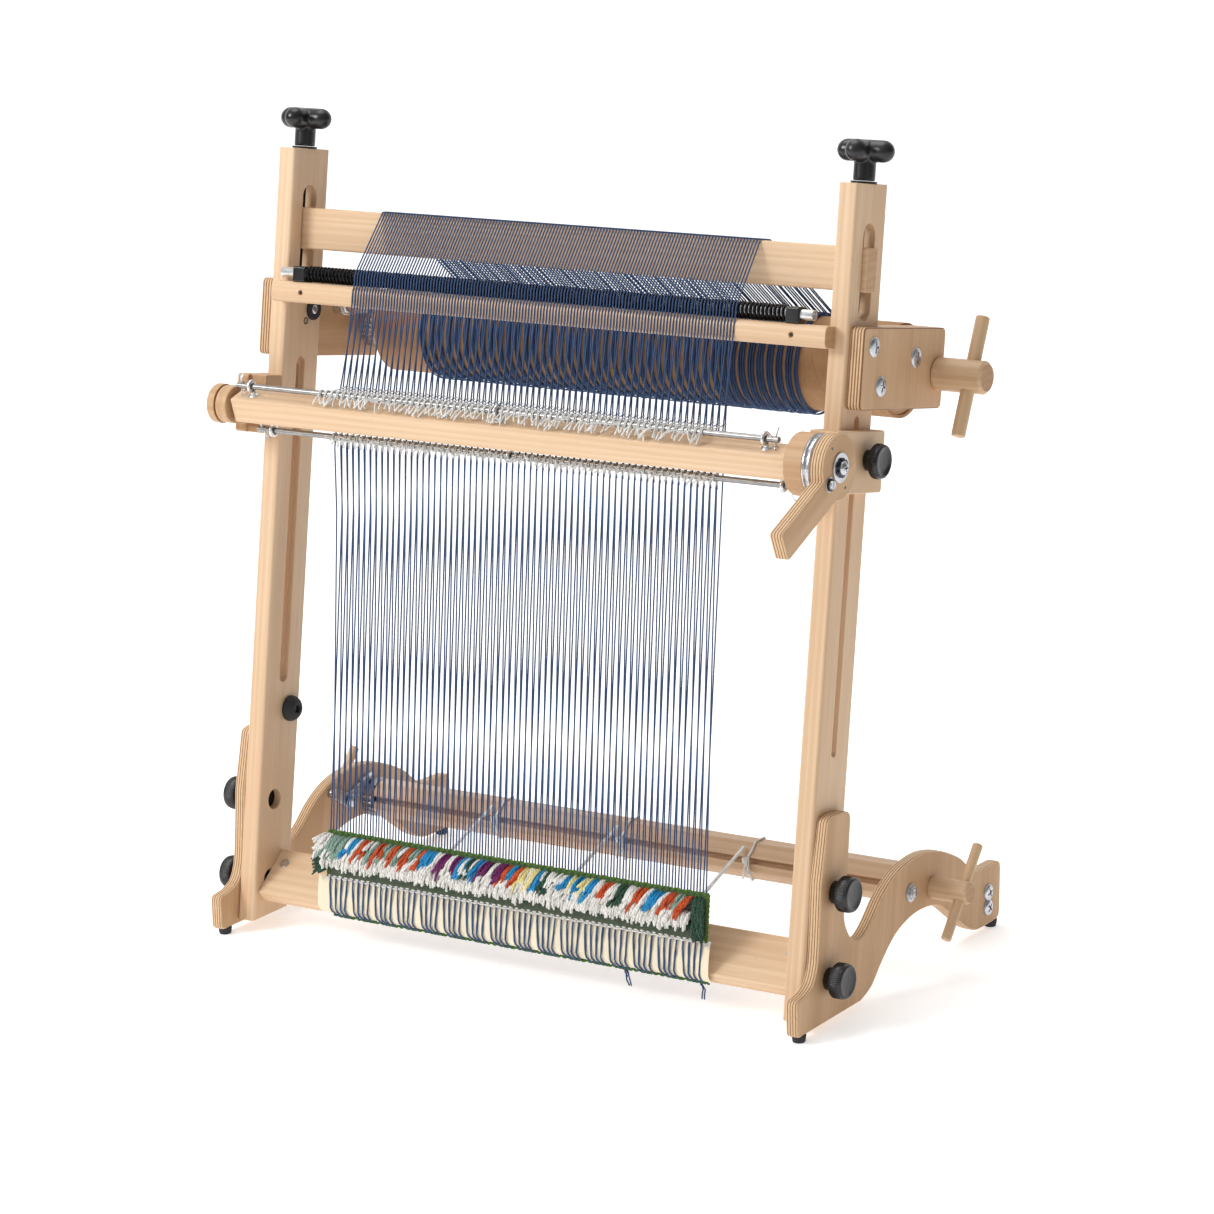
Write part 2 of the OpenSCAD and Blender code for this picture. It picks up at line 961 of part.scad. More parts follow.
module shed_disc() {
  color("tan")
    at_shed()
      x_turned([[0, shed_disc_x[0]], [shed_ring_r - 1, shed_disc_x[0]],
        [shed_ring_r, shed_disc_x[0] + 1], [shed_ring_r, shed_disc_x[1]], [0, shed_disc_x[1]]]);
}

module shed_ring() {
  color("silver")
    at_shed()
      x_turned([[8, shed_ring_x[0]], [shed_ring_r, shed_ring_x[0]], [shed_ring_r, shed_ring_x[1]],
        [8, shed_ring_x[1]]]);
}

module shed_cap() {
  color("tan")
    at_shed()
      x_turned([[0, -block_out - 1 - 9.3], [17.5, -block_out - 1 - 9.3], [19, -block_out - 1 - 8],
        [19, -block_out - 1], [0, -block_out - 1]]);
}

module shed_lever() {
  color("burlywood")
    on_post()
      translate([0, shed_t, shed_s])
        difference() {
          across(lever_x[0], lever_x[1])
            rotate(lever_angle)
              union() {
                circle(lever_head_r);
                translate([0, lever_arm_off - lever_arm_w / 2])
                  rounded_box(lever_arm_l, lever_arm_w, 4);
              }
          x_rod(lever_x[0] - 1, lever_x[1] + 1, 4.1);
        }
}

module lever_fasteners() {
  color("silver")
    on_post() {
      x_turned([[0, shed_ring_x[0]], [4, shed_ring_x[0]], [4, lever_x[1]], [13.5, lever_x[1]],
        [13.5, lever_x[1] + 1.5], [8.5, lever_x[1] + 1.5], [8.5, lever_x[1] + 4],
        [6, lever_x[1] + 6.5], [0, lever_x[1] + 6.5]], [shed_t, shed_s]);
      translate([lever_x[1], shed_t - 16.7, shed_s - 14.6])
        rotate([0, 90, 0])
          cylinder(h = 5, r = 7.5, $fn = 6);
    }
}

// A place near the swinging beam: up along its top face's normal
function shed_off(d) = turned([0, d], shed_turn);

module eyebolts() {
  color("silver")
    at_shed()
      for (row = [0, 1], x = eye_x[row])
        translate([x, 0, 0])
          eyebolt(row == 0 ? rod_up : -rod_down);
}

module eyebolt(d) {
  side = sign(d);
  rotate([shed_turn, 0, 0]) {
    translate([0, 0, d])
      rotate([0, 90, 0])
        difference() {
          cylinder(h = eye_th, r = heddle_rod_r + eye_wall, center = true);
          cylinder(h = eye_th + 2, r = heddle_rod_r, center = true);
        }
    translate([0, 0, side > 0 ? shed_h / 2 : d + heddle_rod_r + eye_wall - 0.8])
      cylinder(h = abs(d) - shed_h / 2 - heddle_rod_r - eye_wall + 0.8, r = eye_shank_r);
  }
}

module heddle_rods() {
  color("silver")
    at_shed() {
      x_rod(heddle_rod_x[0][0], heddle_rod_x[0][1], heddle_rod_r, shed_off(rod_up));
      x_rod(heddle_rod_x[1][0], heddle_rod_x[1][1], heddle_rod_r, shed_off(-rod_down));
    }
}

// ---------------------------------------------------------------- weaving

// A thin sheet between two places in Y and Z
module sheet(a, b, th, x0, x1) {
  d = (b - a) / norm(b - a);
  n = [-d[1], d[0]] * th / 2;
  across(x0, x1)
    polygon([a - n, b - n, b + n, a + n]);
}

module warp_sheet() {
  color("slateblue")
    in_frame() {
      sheet(on_warp(fell_z + gap), stick_front, warp_th, -warp_w / 2, warp_w / 2);
      sheet(plank_low + [3, -4.5], warp_rod_at - [4.5, 1.2], warp_th, -warp_w / 2, warp_w / 2);
    }
}

// From the spring up over the top beam and down to the roller's winding
module warp_over_beam() {
  front_low = post_point(spring_t, spring_s + spring_r + 0.6);
  front_top = post_point(beam_t - 1.2, beam_s + beam_h + 0.6);
  back_top = post_point(beam_t + beam_th + 1.2, beam_s + beam_h + 0.6);
  winding_top = post_point(roller_t - 12, roller_s + winding_d / 2 + 0.4);
  color("slateblue")
    in_frame()
      across(-warp_w / 2, warp_w / 2)
        polygon([front_low, front_top, back_top, winding_top, winding_top + [0, 1.4],
          back_top + [0.3, 1.6], front_top + [-0.6, 1.6], front_low + [-1.6, 0]]);
}

module rug() {
  a = on_warp(rug_z[0]);
  b = on_warp(rug_z[1]);
  color("darkolivegreen")
    in_frame()
      sheet(a - [rug_th / 2 - 2.5, 0], b - [rug_th / 2 - 2.5, 0], rug_th, rug_x[0], rug_x[1]);
}

module card_strip() {
  color("cornsilk")
    in_frame()
      sheet(on_warp(rug_z[0] - 0.5), on_warp(plank_nose[1] - 1), 1, card_x[0], card_x[1]);
}

module heddles() {
  rods = [shed_off(rod_up), shed_off(-rod_down)];
  color("white")
    at_shed()
      for (p = rods)
        sheet(p + [heddle_rod_r + eye_wall + 0.5, 0],
          [on_warp(shed_axis[1] + p[1])[0] - shed_axis[0] - 1.5, p[1]], 1, -warp_w / 2, warp_w / 2);
}

module apron_cords() {
  end = cloth_axis + turned([0, cloth_flats / 2 / cos(22.5) + cord_r + gap], 20);
  color("white")
    in_frame()
      for (x = cord_x)
        rod_between([x, warp_rod_at[0] + 2.2, warp_rod_at[1] + 2.6], [x, end[0], end[1]], cord_r);
}

module warp_rod() {
  color("silver")
    in_frame()
      x_rod(-235, 235, warp_rod_r, warp_rod_at);
}

post_left();
post_right();
foot_plate_left();
foot_plate_right();
rubber_feet();
foot_bolts();
bottom_plank();
front_stick();
frame_screws();
spring_tube();
warp_spring();
spring_clamps();
warp_bracket_left();
warp_bracket_right();
bracket_spacers();
post_bumpers();
pawl_bolts();
tension_washers();
top_beam();
tension_knob_left();
tension_knob_right();
tension_rod_left();
tension_rod_right();
roller_core();
cardboard_tube();
warp_winding();
warp_ratchet();
warp_crank_hub();
warp_crank_dowel();
warp_pawl();
cloth_beam();
cloth_ratchet();
cloth_crank_hubs();
cloth_crank_dowels();
cloth_pawl();
foot_knob_left_upper();
foot_knob_left_lower();
foot_knob_right_upper();
foot_knob_right_lower();
shed_block_left();
shed_block_right();
shed_clamp_bolts();
shed_knob_left();
shed_knob_right();
shed_beam();
shed_disc();
shed_ring();
shed_cap();
shed_lever();
lever_fasteners();
eyebolts();
heddle_rods();
warp_sheet();
warp_over_beam();
rug();
card_strip();
heddles();
apron_cords();
warp_rod();
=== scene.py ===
import json
import math
import random

import bmesh
import bpy
from mathutils import Matrix, Vector


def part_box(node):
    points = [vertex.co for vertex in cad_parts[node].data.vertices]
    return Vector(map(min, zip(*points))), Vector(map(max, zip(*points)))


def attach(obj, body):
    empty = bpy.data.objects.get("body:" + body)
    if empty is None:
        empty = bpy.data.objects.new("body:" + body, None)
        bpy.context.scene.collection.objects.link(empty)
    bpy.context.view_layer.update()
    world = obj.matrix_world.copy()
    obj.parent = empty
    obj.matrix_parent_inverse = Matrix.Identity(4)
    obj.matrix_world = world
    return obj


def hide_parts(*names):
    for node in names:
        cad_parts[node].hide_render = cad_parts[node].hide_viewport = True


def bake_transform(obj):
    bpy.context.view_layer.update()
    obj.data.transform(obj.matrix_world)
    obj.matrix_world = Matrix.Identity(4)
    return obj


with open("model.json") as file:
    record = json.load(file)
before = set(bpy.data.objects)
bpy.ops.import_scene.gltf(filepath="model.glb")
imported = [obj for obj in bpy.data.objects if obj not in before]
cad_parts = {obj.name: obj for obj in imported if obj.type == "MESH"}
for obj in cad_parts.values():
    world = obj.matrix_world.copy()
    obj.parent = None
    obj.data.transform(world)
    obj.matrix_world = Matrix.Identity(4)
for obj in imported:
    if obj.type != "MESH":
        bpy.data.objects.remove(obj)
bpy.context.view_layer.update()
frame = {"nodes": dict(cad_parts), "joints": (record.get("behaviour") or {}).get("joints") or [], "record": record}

MM = 0.001
NODES = frame["nodes"]
RECORD = frame["record"]
BODY_OF = {node: body for body, nodes in RECORD["behaviour"]["bodies"].items() for node in nodes}
JOINTS = {joint["name"]: joint for joint in frame["joints"]}


# ------------------------------------------------------------------ places

def middle(node):
    """The middle of a CAD node's box."""
    low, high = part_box(node)
    return (Vector(low) + Vector(high)) / 2


# The posts' own directions: X across, BACK from their front face, UP along them
ACROSS = Vector((1, 0, 0))
UP = Vector(JOINTS["beam_lift"]["axis"]).normalized()
BACK = Vector((0, UP.z, -UP.y))
LEAN = math.atan2(UP.y, UP.z)
CENTRE_X = middle("top_beam").x
# The tension knob's axis crosses its lobes here: 28.5 mm behind the front, 784 mm up
KNOB_T, KNOB_S = 28.5, 784
POST_FOOT = (Vector(JOINTS["tension_turn_right"]["pos_m"])
             - (UP * KNOB_S + BACK * KNOB_T) * MM)
POST_FOOT_Y, POST_FOOT_Z = 12.65, 12.3


def post(x, t, s):
    """x across from the middle, t behind the posts' front face, s along them, in millimetres."""
    return Vector((CENTRE_X + x * MM, POST_FOOT.y, POST_FOOT.z)) + (BACK * t + UP * s) * MM


def floor(x, y, z):
    """x across from the middle, y and z from the floor under the posts' foot, in millimetres."""
    return Vector((CENTRE_X + x * MM,
                   POST_FOOT.y + (y - POST_FOOT_Y) * MM,
                   POST_FOOT.z + (z - POST_FOOT_Z) * MM))


def lerp(a, b, k):
    return a + (b - a) * k


def around(count):
    """Angles of equal steps round a circle."""
    return [2 * math.pi * k / count for k in range(count)]


def shares(count):
    """From 0 to 1 in equal steps."""
    return [k / count for k in range(count + 1)]


# ------------------------------------------------------------------ camera

def make_camera():
    """Aims at the loom from the weaver's right, a little above, through a long lens."""
    azimuth, elevation, roll = math.radians(32.887), math.radians(13.996), math.radians(-1.522)
    forward = Vector((-math.sin(azimuth) * math.cos(elevation),
                      math.cos(azimuth) * math.cos(elevation),
                      -math.sin(elevation)))
    right = Vector((math.cos(azimuth), math.sin(azimuth), 0))
    up = right.cross(forward)
    turned_right = right * math.cos(roll) + up * math.sin(roll)
    turned_up = up * math.cos(roll) - right * math.sin(roll)
    data = bpy.data.cameras.new("camera")
    data.sensor_width = 36
    data.lens = 122.49
    data.clip_end = 50
    camera = bpy.data.objects.new("camera", data)
    turn = Matrix((turned_right, turned_up, -forward)).transposed()
    camera.matrix_world = Matrix.Translation((2.0854, -3.1982, 1.2812)) @ turn.to_4x4()
    bpy.context.scene.collection.objects.link(camera)
    bpy.context.scene.camera = camera


make_camera()


# ------------------------------------------------------------------ shader helpers

class Shader:
    """A material with short calls for its nodes."""

    def __init__(self, name):
        self.material = bpy.data.materials.new(name)
        self.material.use_nodes = True
        self.tree = self.material.node_tree
        self.principled = self.tree.nodes["Principled BSDF"]

    def feed(self, socket, value):
        if isinstance(value, bpy.types.NodeSocket):
            self.tree.links.new(value, socket)
        else:
            socket.default_value = value

    def set(self, **values):
        for key, value in values.items():
            name = key.replace("_", " ").title().replace("Ior", "IOR")
            self.feed(self.principled.inputs[name], value)

    def place(self, scale=(1, 1, 1), turn=(0, 0, 0), move=(0, 0, 0), source="Object"):
        """Texture coordinates, in metres for Object, turned and then scaled."""
        coordinates = self.tree.nodes.new("ShaderNodeTexCoord")
        turned = self.tree.nodes.new("ShaderNodeMapping")
        turned.inputs["Rotation"].default_value = turn
        turned.inputs["Location"].default_value = move
        self.tree.links.new(coordinates.outputs[source], turned.inputs["Vector"])
        scaled = self.tree.nodes.new("ShaderNodeMapping")
        scaled.inputs["Scale"].default_value = scale
        self.tree.links.new(turned.outputs["Vector"], scaled.inputs["Vector"])
        return scaled.outputs["Vector"]

    def noise(self, vector, scale=1.0, detail=4.0, roughness=0.5, distortion=0.0):
        made = self.tree.nodes.new("ShaderNodeTexNoise")
        self.feed(made.inputs["Vector"], vector)
        made.inputs["Scale"].default_value = scale
        made.inputs["Detail"].default_value = detail
        made.inputs["Roughness"].default_value = roughness
        made.inputs["Distortion"].default_value = distortion
        return made.outputs["Fac"]

    def wave(self, vector, scale=1.0, distortion=0.0, detail=2.0, bands="X", profile="SIN"):
        made = self.tree.nodes.new("ShaderNodeTexWave")
        made.bands_direction = bands
        made.wave_profile = profile
        self.feed(made.inputs["Vector"], vector)
        made.inputs["Scale"].default_value = scale
        made.inputs["Distortion"].default_value = distortion
        made.inputs["Detail"].default_value = detail
        return made.outputs["Fac"]

    def ramp(self, fac, *stops):
        """stops are (position, colour or grey)."""
        made = self.tree.nodes.new("ShaderNodeValToRGB")
        self.feed(made.inputs["Fac"], fac)
        elements = made.color_ramp.elements
        while len(elements) < len(stops):
            elements.new(0.5)
        for element, (position, colour) in zip(elements, stops):
            element.position = position
            if isinstance(colour, (int, float)):
                colour = (colour, colour, colour)
            element.color = (*colour[:3], 1)
        return made.outputs["Color"]

    def mix(self, fac, a, b, blend="MIX"):
        made = self.tree.nodes.new("ShaderNodeMix")
        made.data_type = "RGBA"
        made.blend_type = blend
        self.feed(made.inputs["Factor"], fac)
        self.feed(made.inputs[6], (*a, 1) if isinstance(a, tuple) else a)
        self.feed(made.inputs[7], (*b, 1) if isinstance(b, tuple) else b)
        return made.outputs[2]

    def math(self, operation, a, b=0.0, c=0.0):
        made = self.tree.nodes.new("ShaderNodeMath")
        made.operation = operation
        for socket, value in zip(made.inputs, (a, b, c)):
            self.feed(socket, value)
        return made.outputs["Value"]

    def axis(self, vector, letter):
        made = self.tree.nodes.new("ShaderNodeSeparateXYZ")
        self.feed(made.inputs["Vector"], vector)
        return made.outputs[letter]

    def sideways(self):
        """How squarely a face looks along X, from 0 to 1."""
        normal = self.tree.nodes.new("ShaderNodeTexCoord").outputs["Normal"]
        return self.math("ABSOLUTE", self.axis(normal, "X"))

    def bump(self, height, strength=0.2, distance=0.001):
        made = self.tree.nodes.new("ShaderNodeBump")
        made.inputs["Strength"].default_value = strength
        made.inputs["Distance"].default_value = distance
        self.feed(made.inputs["Height"], height)
        self.set(normal=made.outputs["Normal"])


# Turns that lay each material's own length along Z onto the piece's grain
ALONG_X = (0, math.radians(-90), 0)
ALONG_POST = (LEAN, 0, 0)
ALONG_Y = (math.radians(90), 0, 0)


def wood_colour(shader, turn, move, pale, deep, figure):
    """Long fibres, broad growth figure and small dark flecks, with the grain along Z."""
    fibre_at = shader.place((420, 420, 9), turn, move)
    broad_at = shader.place((26, 26, 1.1), turn, move)
    fleck_at = shader.place((700, 700, 90), turn, move)
    fibre = shader.noise(fibre_at, 1.0, 5, 0.6)
    broad = shader.noise(broad_at, 1.0, 3, 0.5, 0.4)
    rings = shader.wave(shader.place((46, 30, 1.3), turn, move), 1.0, 7.0, 3)
    figured = shader.math("MULTIPLY_ADD", rings, figure, broad)
    blended = shader.math("MULTIPLY_ADD", fibre, 0.55, figured)
    tone = shader.ramp(blended, (0.45, pale), (1.25, deep))
    flecks = shader.ramp(shader.noise(fleck_at, 1.0, 2, 0.5), (0.66, 0.0), (0.74, 1.0))
    darker = tuple(0.72 * c for c in deep)
    return shader.mix(shader.math("MULTIPLY", flecks, 0.35), tone, darker), fibre


def wood(name, turn, move=(0, 0, 0), pale=(0.82, 0.615, 0.415), deep=(0.68, 0.455, 0.275),
         figure=0.22, gloss=0.42):
    """Oiled solid wood. Pieces that run across the loom have darker end grain."""
    shader = Shader(name)
    colour, fibre = wood_colour(shader, turn, move, pale, deep, figure)
    if turn == ALONG_X:
        ended = shader.ramp(shader.sideways(), (0.8, 0.0), (0.95, 1.0))
        colour = shader.mix(ended, colour, shader.mix(1.0, colour, (0.74, 0.62, 0.50), "MULTIPLY"))
    shader.set(base_color=colour)
    shader.set(roughness=shader.ramp(fibre, (0.3, gloss), (0.7, gloss + 0.14)))
    shader.set(coat_weight=0.08, coat_roughness=0.35, specular_ior_level=0.4)
    shader.bump(fibre, 0.10, 0.0004)
    return shader.material


def plywood(name, turn, first_x, ply, move=(0, 0, 0), dark_share=0.34):
    """Veneer on the faces square to X, and a stack of plies across X on every edge."""
    shader = Shader(name)
    veneer, fibre = wood_colour(shader, turn, move, (0.68, 0.445, 0.262), (0.54, 0.325, 0.17), 0.30)
    place = shader.place()
    count = shader.math("DIVIDE", shader.math("SUBTRACT", shader.axis(place, "X"), first_x), ply)
    within = shader.math("FRACT", shader.math("MULTIPLY", count, 0.5))
    crossed = shader.ramp(within, (0.94 - dark_share, 0.0), (1.0 - dark_share, 1.0), (0.94, 1.0),
                          (1.0, 0.0))
    grit = shader.noise(shader.place((1500, 260, 260)), 1.0, 3, 0.6)
    pale = shader.ramp(grit, (0.3, (0.62, 0.40, 0.225)), (0.7, (0.76, 0.54, 0.33)))
    dark = shader.ramp(grit, (0.3, (0.17, 0.075, 0.03)), (0.7, (0.34, 0.17, 0.075)))
    edge = shader.mix(crossed, pale, dark)
    on_face = shader.ramp(shader.sideways(), (0.90, 0.0), (0.97, 1.0))
    shader.set(base_color=shader.mix(on_face, edge, veneer))
    shader.set(roughness=shader.ramp(fibre, (0.3, 0.45), (0.7, 0.62)), specular_ior_level=0.35)
    shader.bump(shader.mix(on_face, grit, fibre), 0.14, 0.0004)
    return shader.material


def plastic(name, colour, gloss, grain=900, strength=0.12):
    """Moulded plastic or rubber with a fine spark-eroded grain."""
    shader = Shader(name)
    place = shader.place()
    grit = shader.noise(place, grain, 4, 0.6)
    cloud = shader.noise(place, 35, 3, 0.5)
    lighter = tuple(c * 1.9 + 0.004 for c in colour)
    shader.set(base_color=shader.ramp(cloud, (0.3, colour), (0.75, lighter)))
    shader.set(roughness=shader.ramp(cloud, (0.3, gloss), (0.7, gloss + 0.15)))
    shader.set(specular_ior_level=0.5)
    shader.bump(grit, strength, 0.0002)
    return shader.material


def metal(name, colour, gloss, turn=(0, 0, 0), drawn=(60, 60, 60)):
    """Bare or plated metal: fine scratches along its drawn direction and cloudy wear."""
    shader = Shader(name)
    scratch = shader.noise(shader.place(tuple(40 * d for d in drawn), turn), 1.0, 3, 0.7)
    cloud = shader.noise(shader.place(), 140, 3, 0.6)
    duller = tuple(0.72 * c for c in colour)
    shader.set(base_color=shader.ramp(cloud, (0.3, duller), (0.7, colour)), metallic=1.0)
    both = shader.math("MULTIPLY_ADD", scratch, 0.5, shader.math("MULTIPLY", cloud, 0.5))
    shader.set(roughness=shader.ramp(both, (0.3, gloss), (0.75, gloss + 0.22)))
    shader.bump(scratch, 0.08, 0.0001)
    return shader.material


def yarn(name, colour, plies=2, pitch=2.2, depth=0.0003, fuzz=0.12):
    """Twisted yarn: its plies wind round the thread by the tube's own length in millimetres."""
    shader = Shader(name)
    place = shader.place(source="UV")
    turn = shader.axis(place, "X")
    length = shader.axis(place, "Y")
    wound = shader.math("MULTIPLY_ADD", length, 1 / pitch, shader.math("MULTIPLY", turn, plies))
    strand = shader.math("PINGPONG", wound, 0.5)
    strand = shader.math("MULTIPLY", strand, 2.0)
    fibre = shader.noise(shader.place(), 2600, 3, 0.7)
    patch = shader.noise(shader.place(), 90, 3, 0.6)
    # The colour follows the twist: painted shade in the grooves between plies and painted highlight on their
    # crests, mixed with random fibre tone
    dark = tuple(0.42 * c for c in colour)
    pale = tuple(min(1, 1.28 * c + 0.012) for c in colour)
    tone = shader.math("MULTIPLY_ADD", fibre, 0.45, shader.math("MULTIPLY", strand, 0.75))
    body = shader.ramp(tone, (0.05, dark), (0.5, colour), (1.0, pale))
    worn = shader.ramp(patch, (0.35, 0.82), (0.65, 1.0))
    shader.set(base_color=shader.mix(1.0, body, worn, "MULTIPLY"))
    shader.set(roughness=0.92, sheen_weight=fuzz, sheen_roughness=0.6, specular_ior_level=0.15)
    height = shader.math("MULTIPLY_ADD", fibre, 0.35, strand)
    shader.bump(height, 0.8, depth)
    return shader.material


def cardboard(name):
    """Brown paper tube, wound in a spiral, with grey flecks of recycled fibre."""
    shader = Shader(name)
    place = shader.place()
    seam = shader.wave(shader.place((7, 6, 6), (0, 0.35, 0)), 1.0, 0.0, 0, "X", "SAW")
    groove = shader.ramp(seam, (0.0, 0.0), (0.012, 1.0))
    fibre = shader.noise(shader.place((900, 160, 160)), 1.0, 4, 0.7)
    cloud = shader.noise(place, 30, 4, 0.6)
    fleck = shader.ramp(shader.noise(place, 900, 2, 0.5), (0.66, 0.0), (0.72, 1.0))
    base = shader.ramp(shader.math("MULTIPLY_ADD", fibre, 0.4, cloud),
                       (0.4, (0.33, 0.175, 0.085)), (0.95, (0.50, 0.29, 0.15)))
    base = shader.mix(shader.math("MULTIPLY", fleck, 0.5), base, (0.20, 0.14, 0.10))
    shader.set(base_color=shader.mix(groove, (0.16, 0.10, 0.06), base))
    shader.set(roughness=0.86, specular_ior_level=0.25)
    shader.bump(shader.math("MULTIPLY_ADD", fibre, 0.3, groove), 0.25, 0.0004)
    return shader.material


def paper(name, colour):
    """Thin uncoated card."""
    shader = Shader(name)
    fibre = shader.noise(shader.place(), 700, 5, 0.7)
    cloud = shader.noise(shader.place(), 22, 3, 0.5)
    shade = tuple(0.90 * c for c in colour)
    shader.set(base_color=shader.ramp(shader.math("MULTIPLY_ADD", fibre, 0.3, cloud),
                                      (0.4, shade), (0.9, colour)))
    shader.set(roughness=0.72, specular_ior_level=0.3)
    shader.bump(fibre, 0.12, 0.0002)
    return shader.material


def woven(name, colour):
    """Plain weave packed tight: ribs of weft over upright warps."""
    shader = Shader(name)
    rows = shader.wave(shader.place((1, 1, 1)), 1050, 0.5, 2, "Z")
    ends = shader.wave(shader.place((1, 1, 1)), 480, 0.6, 2, "X")
    beads = shader.math("MULTIPLY", rows, shader.math("MULTIPLY_ADD", ends, 0.6, 0.4))
    fibre = shader.noise(shader.place(), 2400, 3, 0.7)
    # The gaps between the ribs and beads are painted darker: painted shade between the threads, mixed with random
    # fibre tone
    dark = tuple(0.3 * c for c in colour)
    tone = shader.math("MULTIPLY_ADD", fibre, 0.4, shader.math("MULTIPLY", beads, 0.8))
    shader.set(base_color=shader.ramp(tone, (0.1, dark), (0.6, colour)))
    shader.set(roughness=0.95, sheen_weight=0.4, specular_ior_level=0.1)
    shader.bump(beads, 0.9, 0.0008)
    return shader.material


# ------------------------------------------------------------------ materials

WOOD_MOVES = {"post_left": (3.1, 0.4, 0.2), "post_right": (1.7, 2.2, 0.9), "bottom_plank": (0.3, 5.1, 2.2),
              "front_stick": (4.4, 1.0, 1.4), "top_beam": (2.6, 3.3, 0.1), "shed_beam": (5.2, 0.7, 3.0),
              "cloth_beam": (1.1, 4.6, 2.7), "roller_core": (0.9, 0.2, 4.0)}
BEECH = {"pale": (0.66, 0.43, 0.25), "deep": (0.50, 0.30, 0.155)}

WOODS = {
    "post_left": wood("maple_post_left", ALONG_POST, WOOD_MOVES["post_left"]),
    "post_right": wood("maple_post_right", ALONG_POST, WOOD_MOVES["post_right"]),
    "crank": wood("maple_crank", ALONG_X, (2.0, 2.0, 0.4), (0.72, 0.52, 0.33), (0.58, 0.38, 0.22)),
    "dowel": wood("maple_dowel", (math.radians(26), 0, 0), (0, 1.5, 0.7),
                  (0.74, 0.53, 0.33), (0.60, 0.40, 0.23)),
    "pale_block": wood("maple_block", ALONG_Y, (0.1, 2.9, 1.0)),
    "beech": wood("beech_block", ALONG_Y, (1.3, 0.2, 2.1), **BEECH),
    "beech_round": wood("beech_round", ALONG_X, (0.5, 3.2, 0.1), **BEECH),
}
for name in ("bottom_plank", "front_stick", "top_beam", "shed_beam", "roller_core"):
    WOODS[name] = wood("maple_" + name, ALONG_X, WOOD_MOVES[name])
WOODS["cloth_beam"] = wood("maple_cloth_beam", ALONG_X, WOOD_MOVES["cloth_beam"],
                           (0.71, 0.50, 0.33), (0.57, 0.375, 0.225))


def ply_material(node, plies, turn, move=(0, 0, 0), dark=0.34):
    low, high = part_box(node)
    return plywood("plywood_" + node, turn, low[0], (high[0] - low[0]) / plies, move, dark)


PLASTIC = plastic("black_plastic", (0.006, 0.006, 0.007), 0.20, 900, 0.05)
RUBBER = plastic("black_rubber", (0.014, 0.014, 0.015), 0.62, 500, 0.3)
BLACK_STEEL = metal("black_steel", (0.020, 0.020, 0.022), 0.26)
# Near-black brown for small holes in the frame: painted shade standing for the inside of each hole
PAINTED_HOLE_SHADE = plastic("painted_hole_shade", (0.035, 0.018, 0.010), 0.75)
ZINC = metal("zinc_steel", (0.66, 0.68, 0.72), 0.20)
ROD_STEEL = metal("rod_steel", (0.36, 0.35, 0.34), 0.24, ALONG_X, (60, 60, 2))
ALUMINIUM = metal("aluminium", (0.86, 0.86, 0.87), 0.3, ALONG_X, (60, 60, 2))
NICKEL = metal("cast_nickel", (0.84, 0.84, 0.85), 0.22)
CARDBOARD = cardboard("cardboard")
CARD = paper("cream_card", (0.90, 0.80, 0.60))
NAVY = yarn("navy_warp", (0.040, 0.085, 0.20), 2, 2.0)
STRING = yarn("white_string", (0.93, 0.92, 0.88), 3, 2.4)
MOSS_WEAVE = woven("moss_weave", (0.050, 0.120, 0.008))


# ------------------------------------------------------------------ mesh helpers

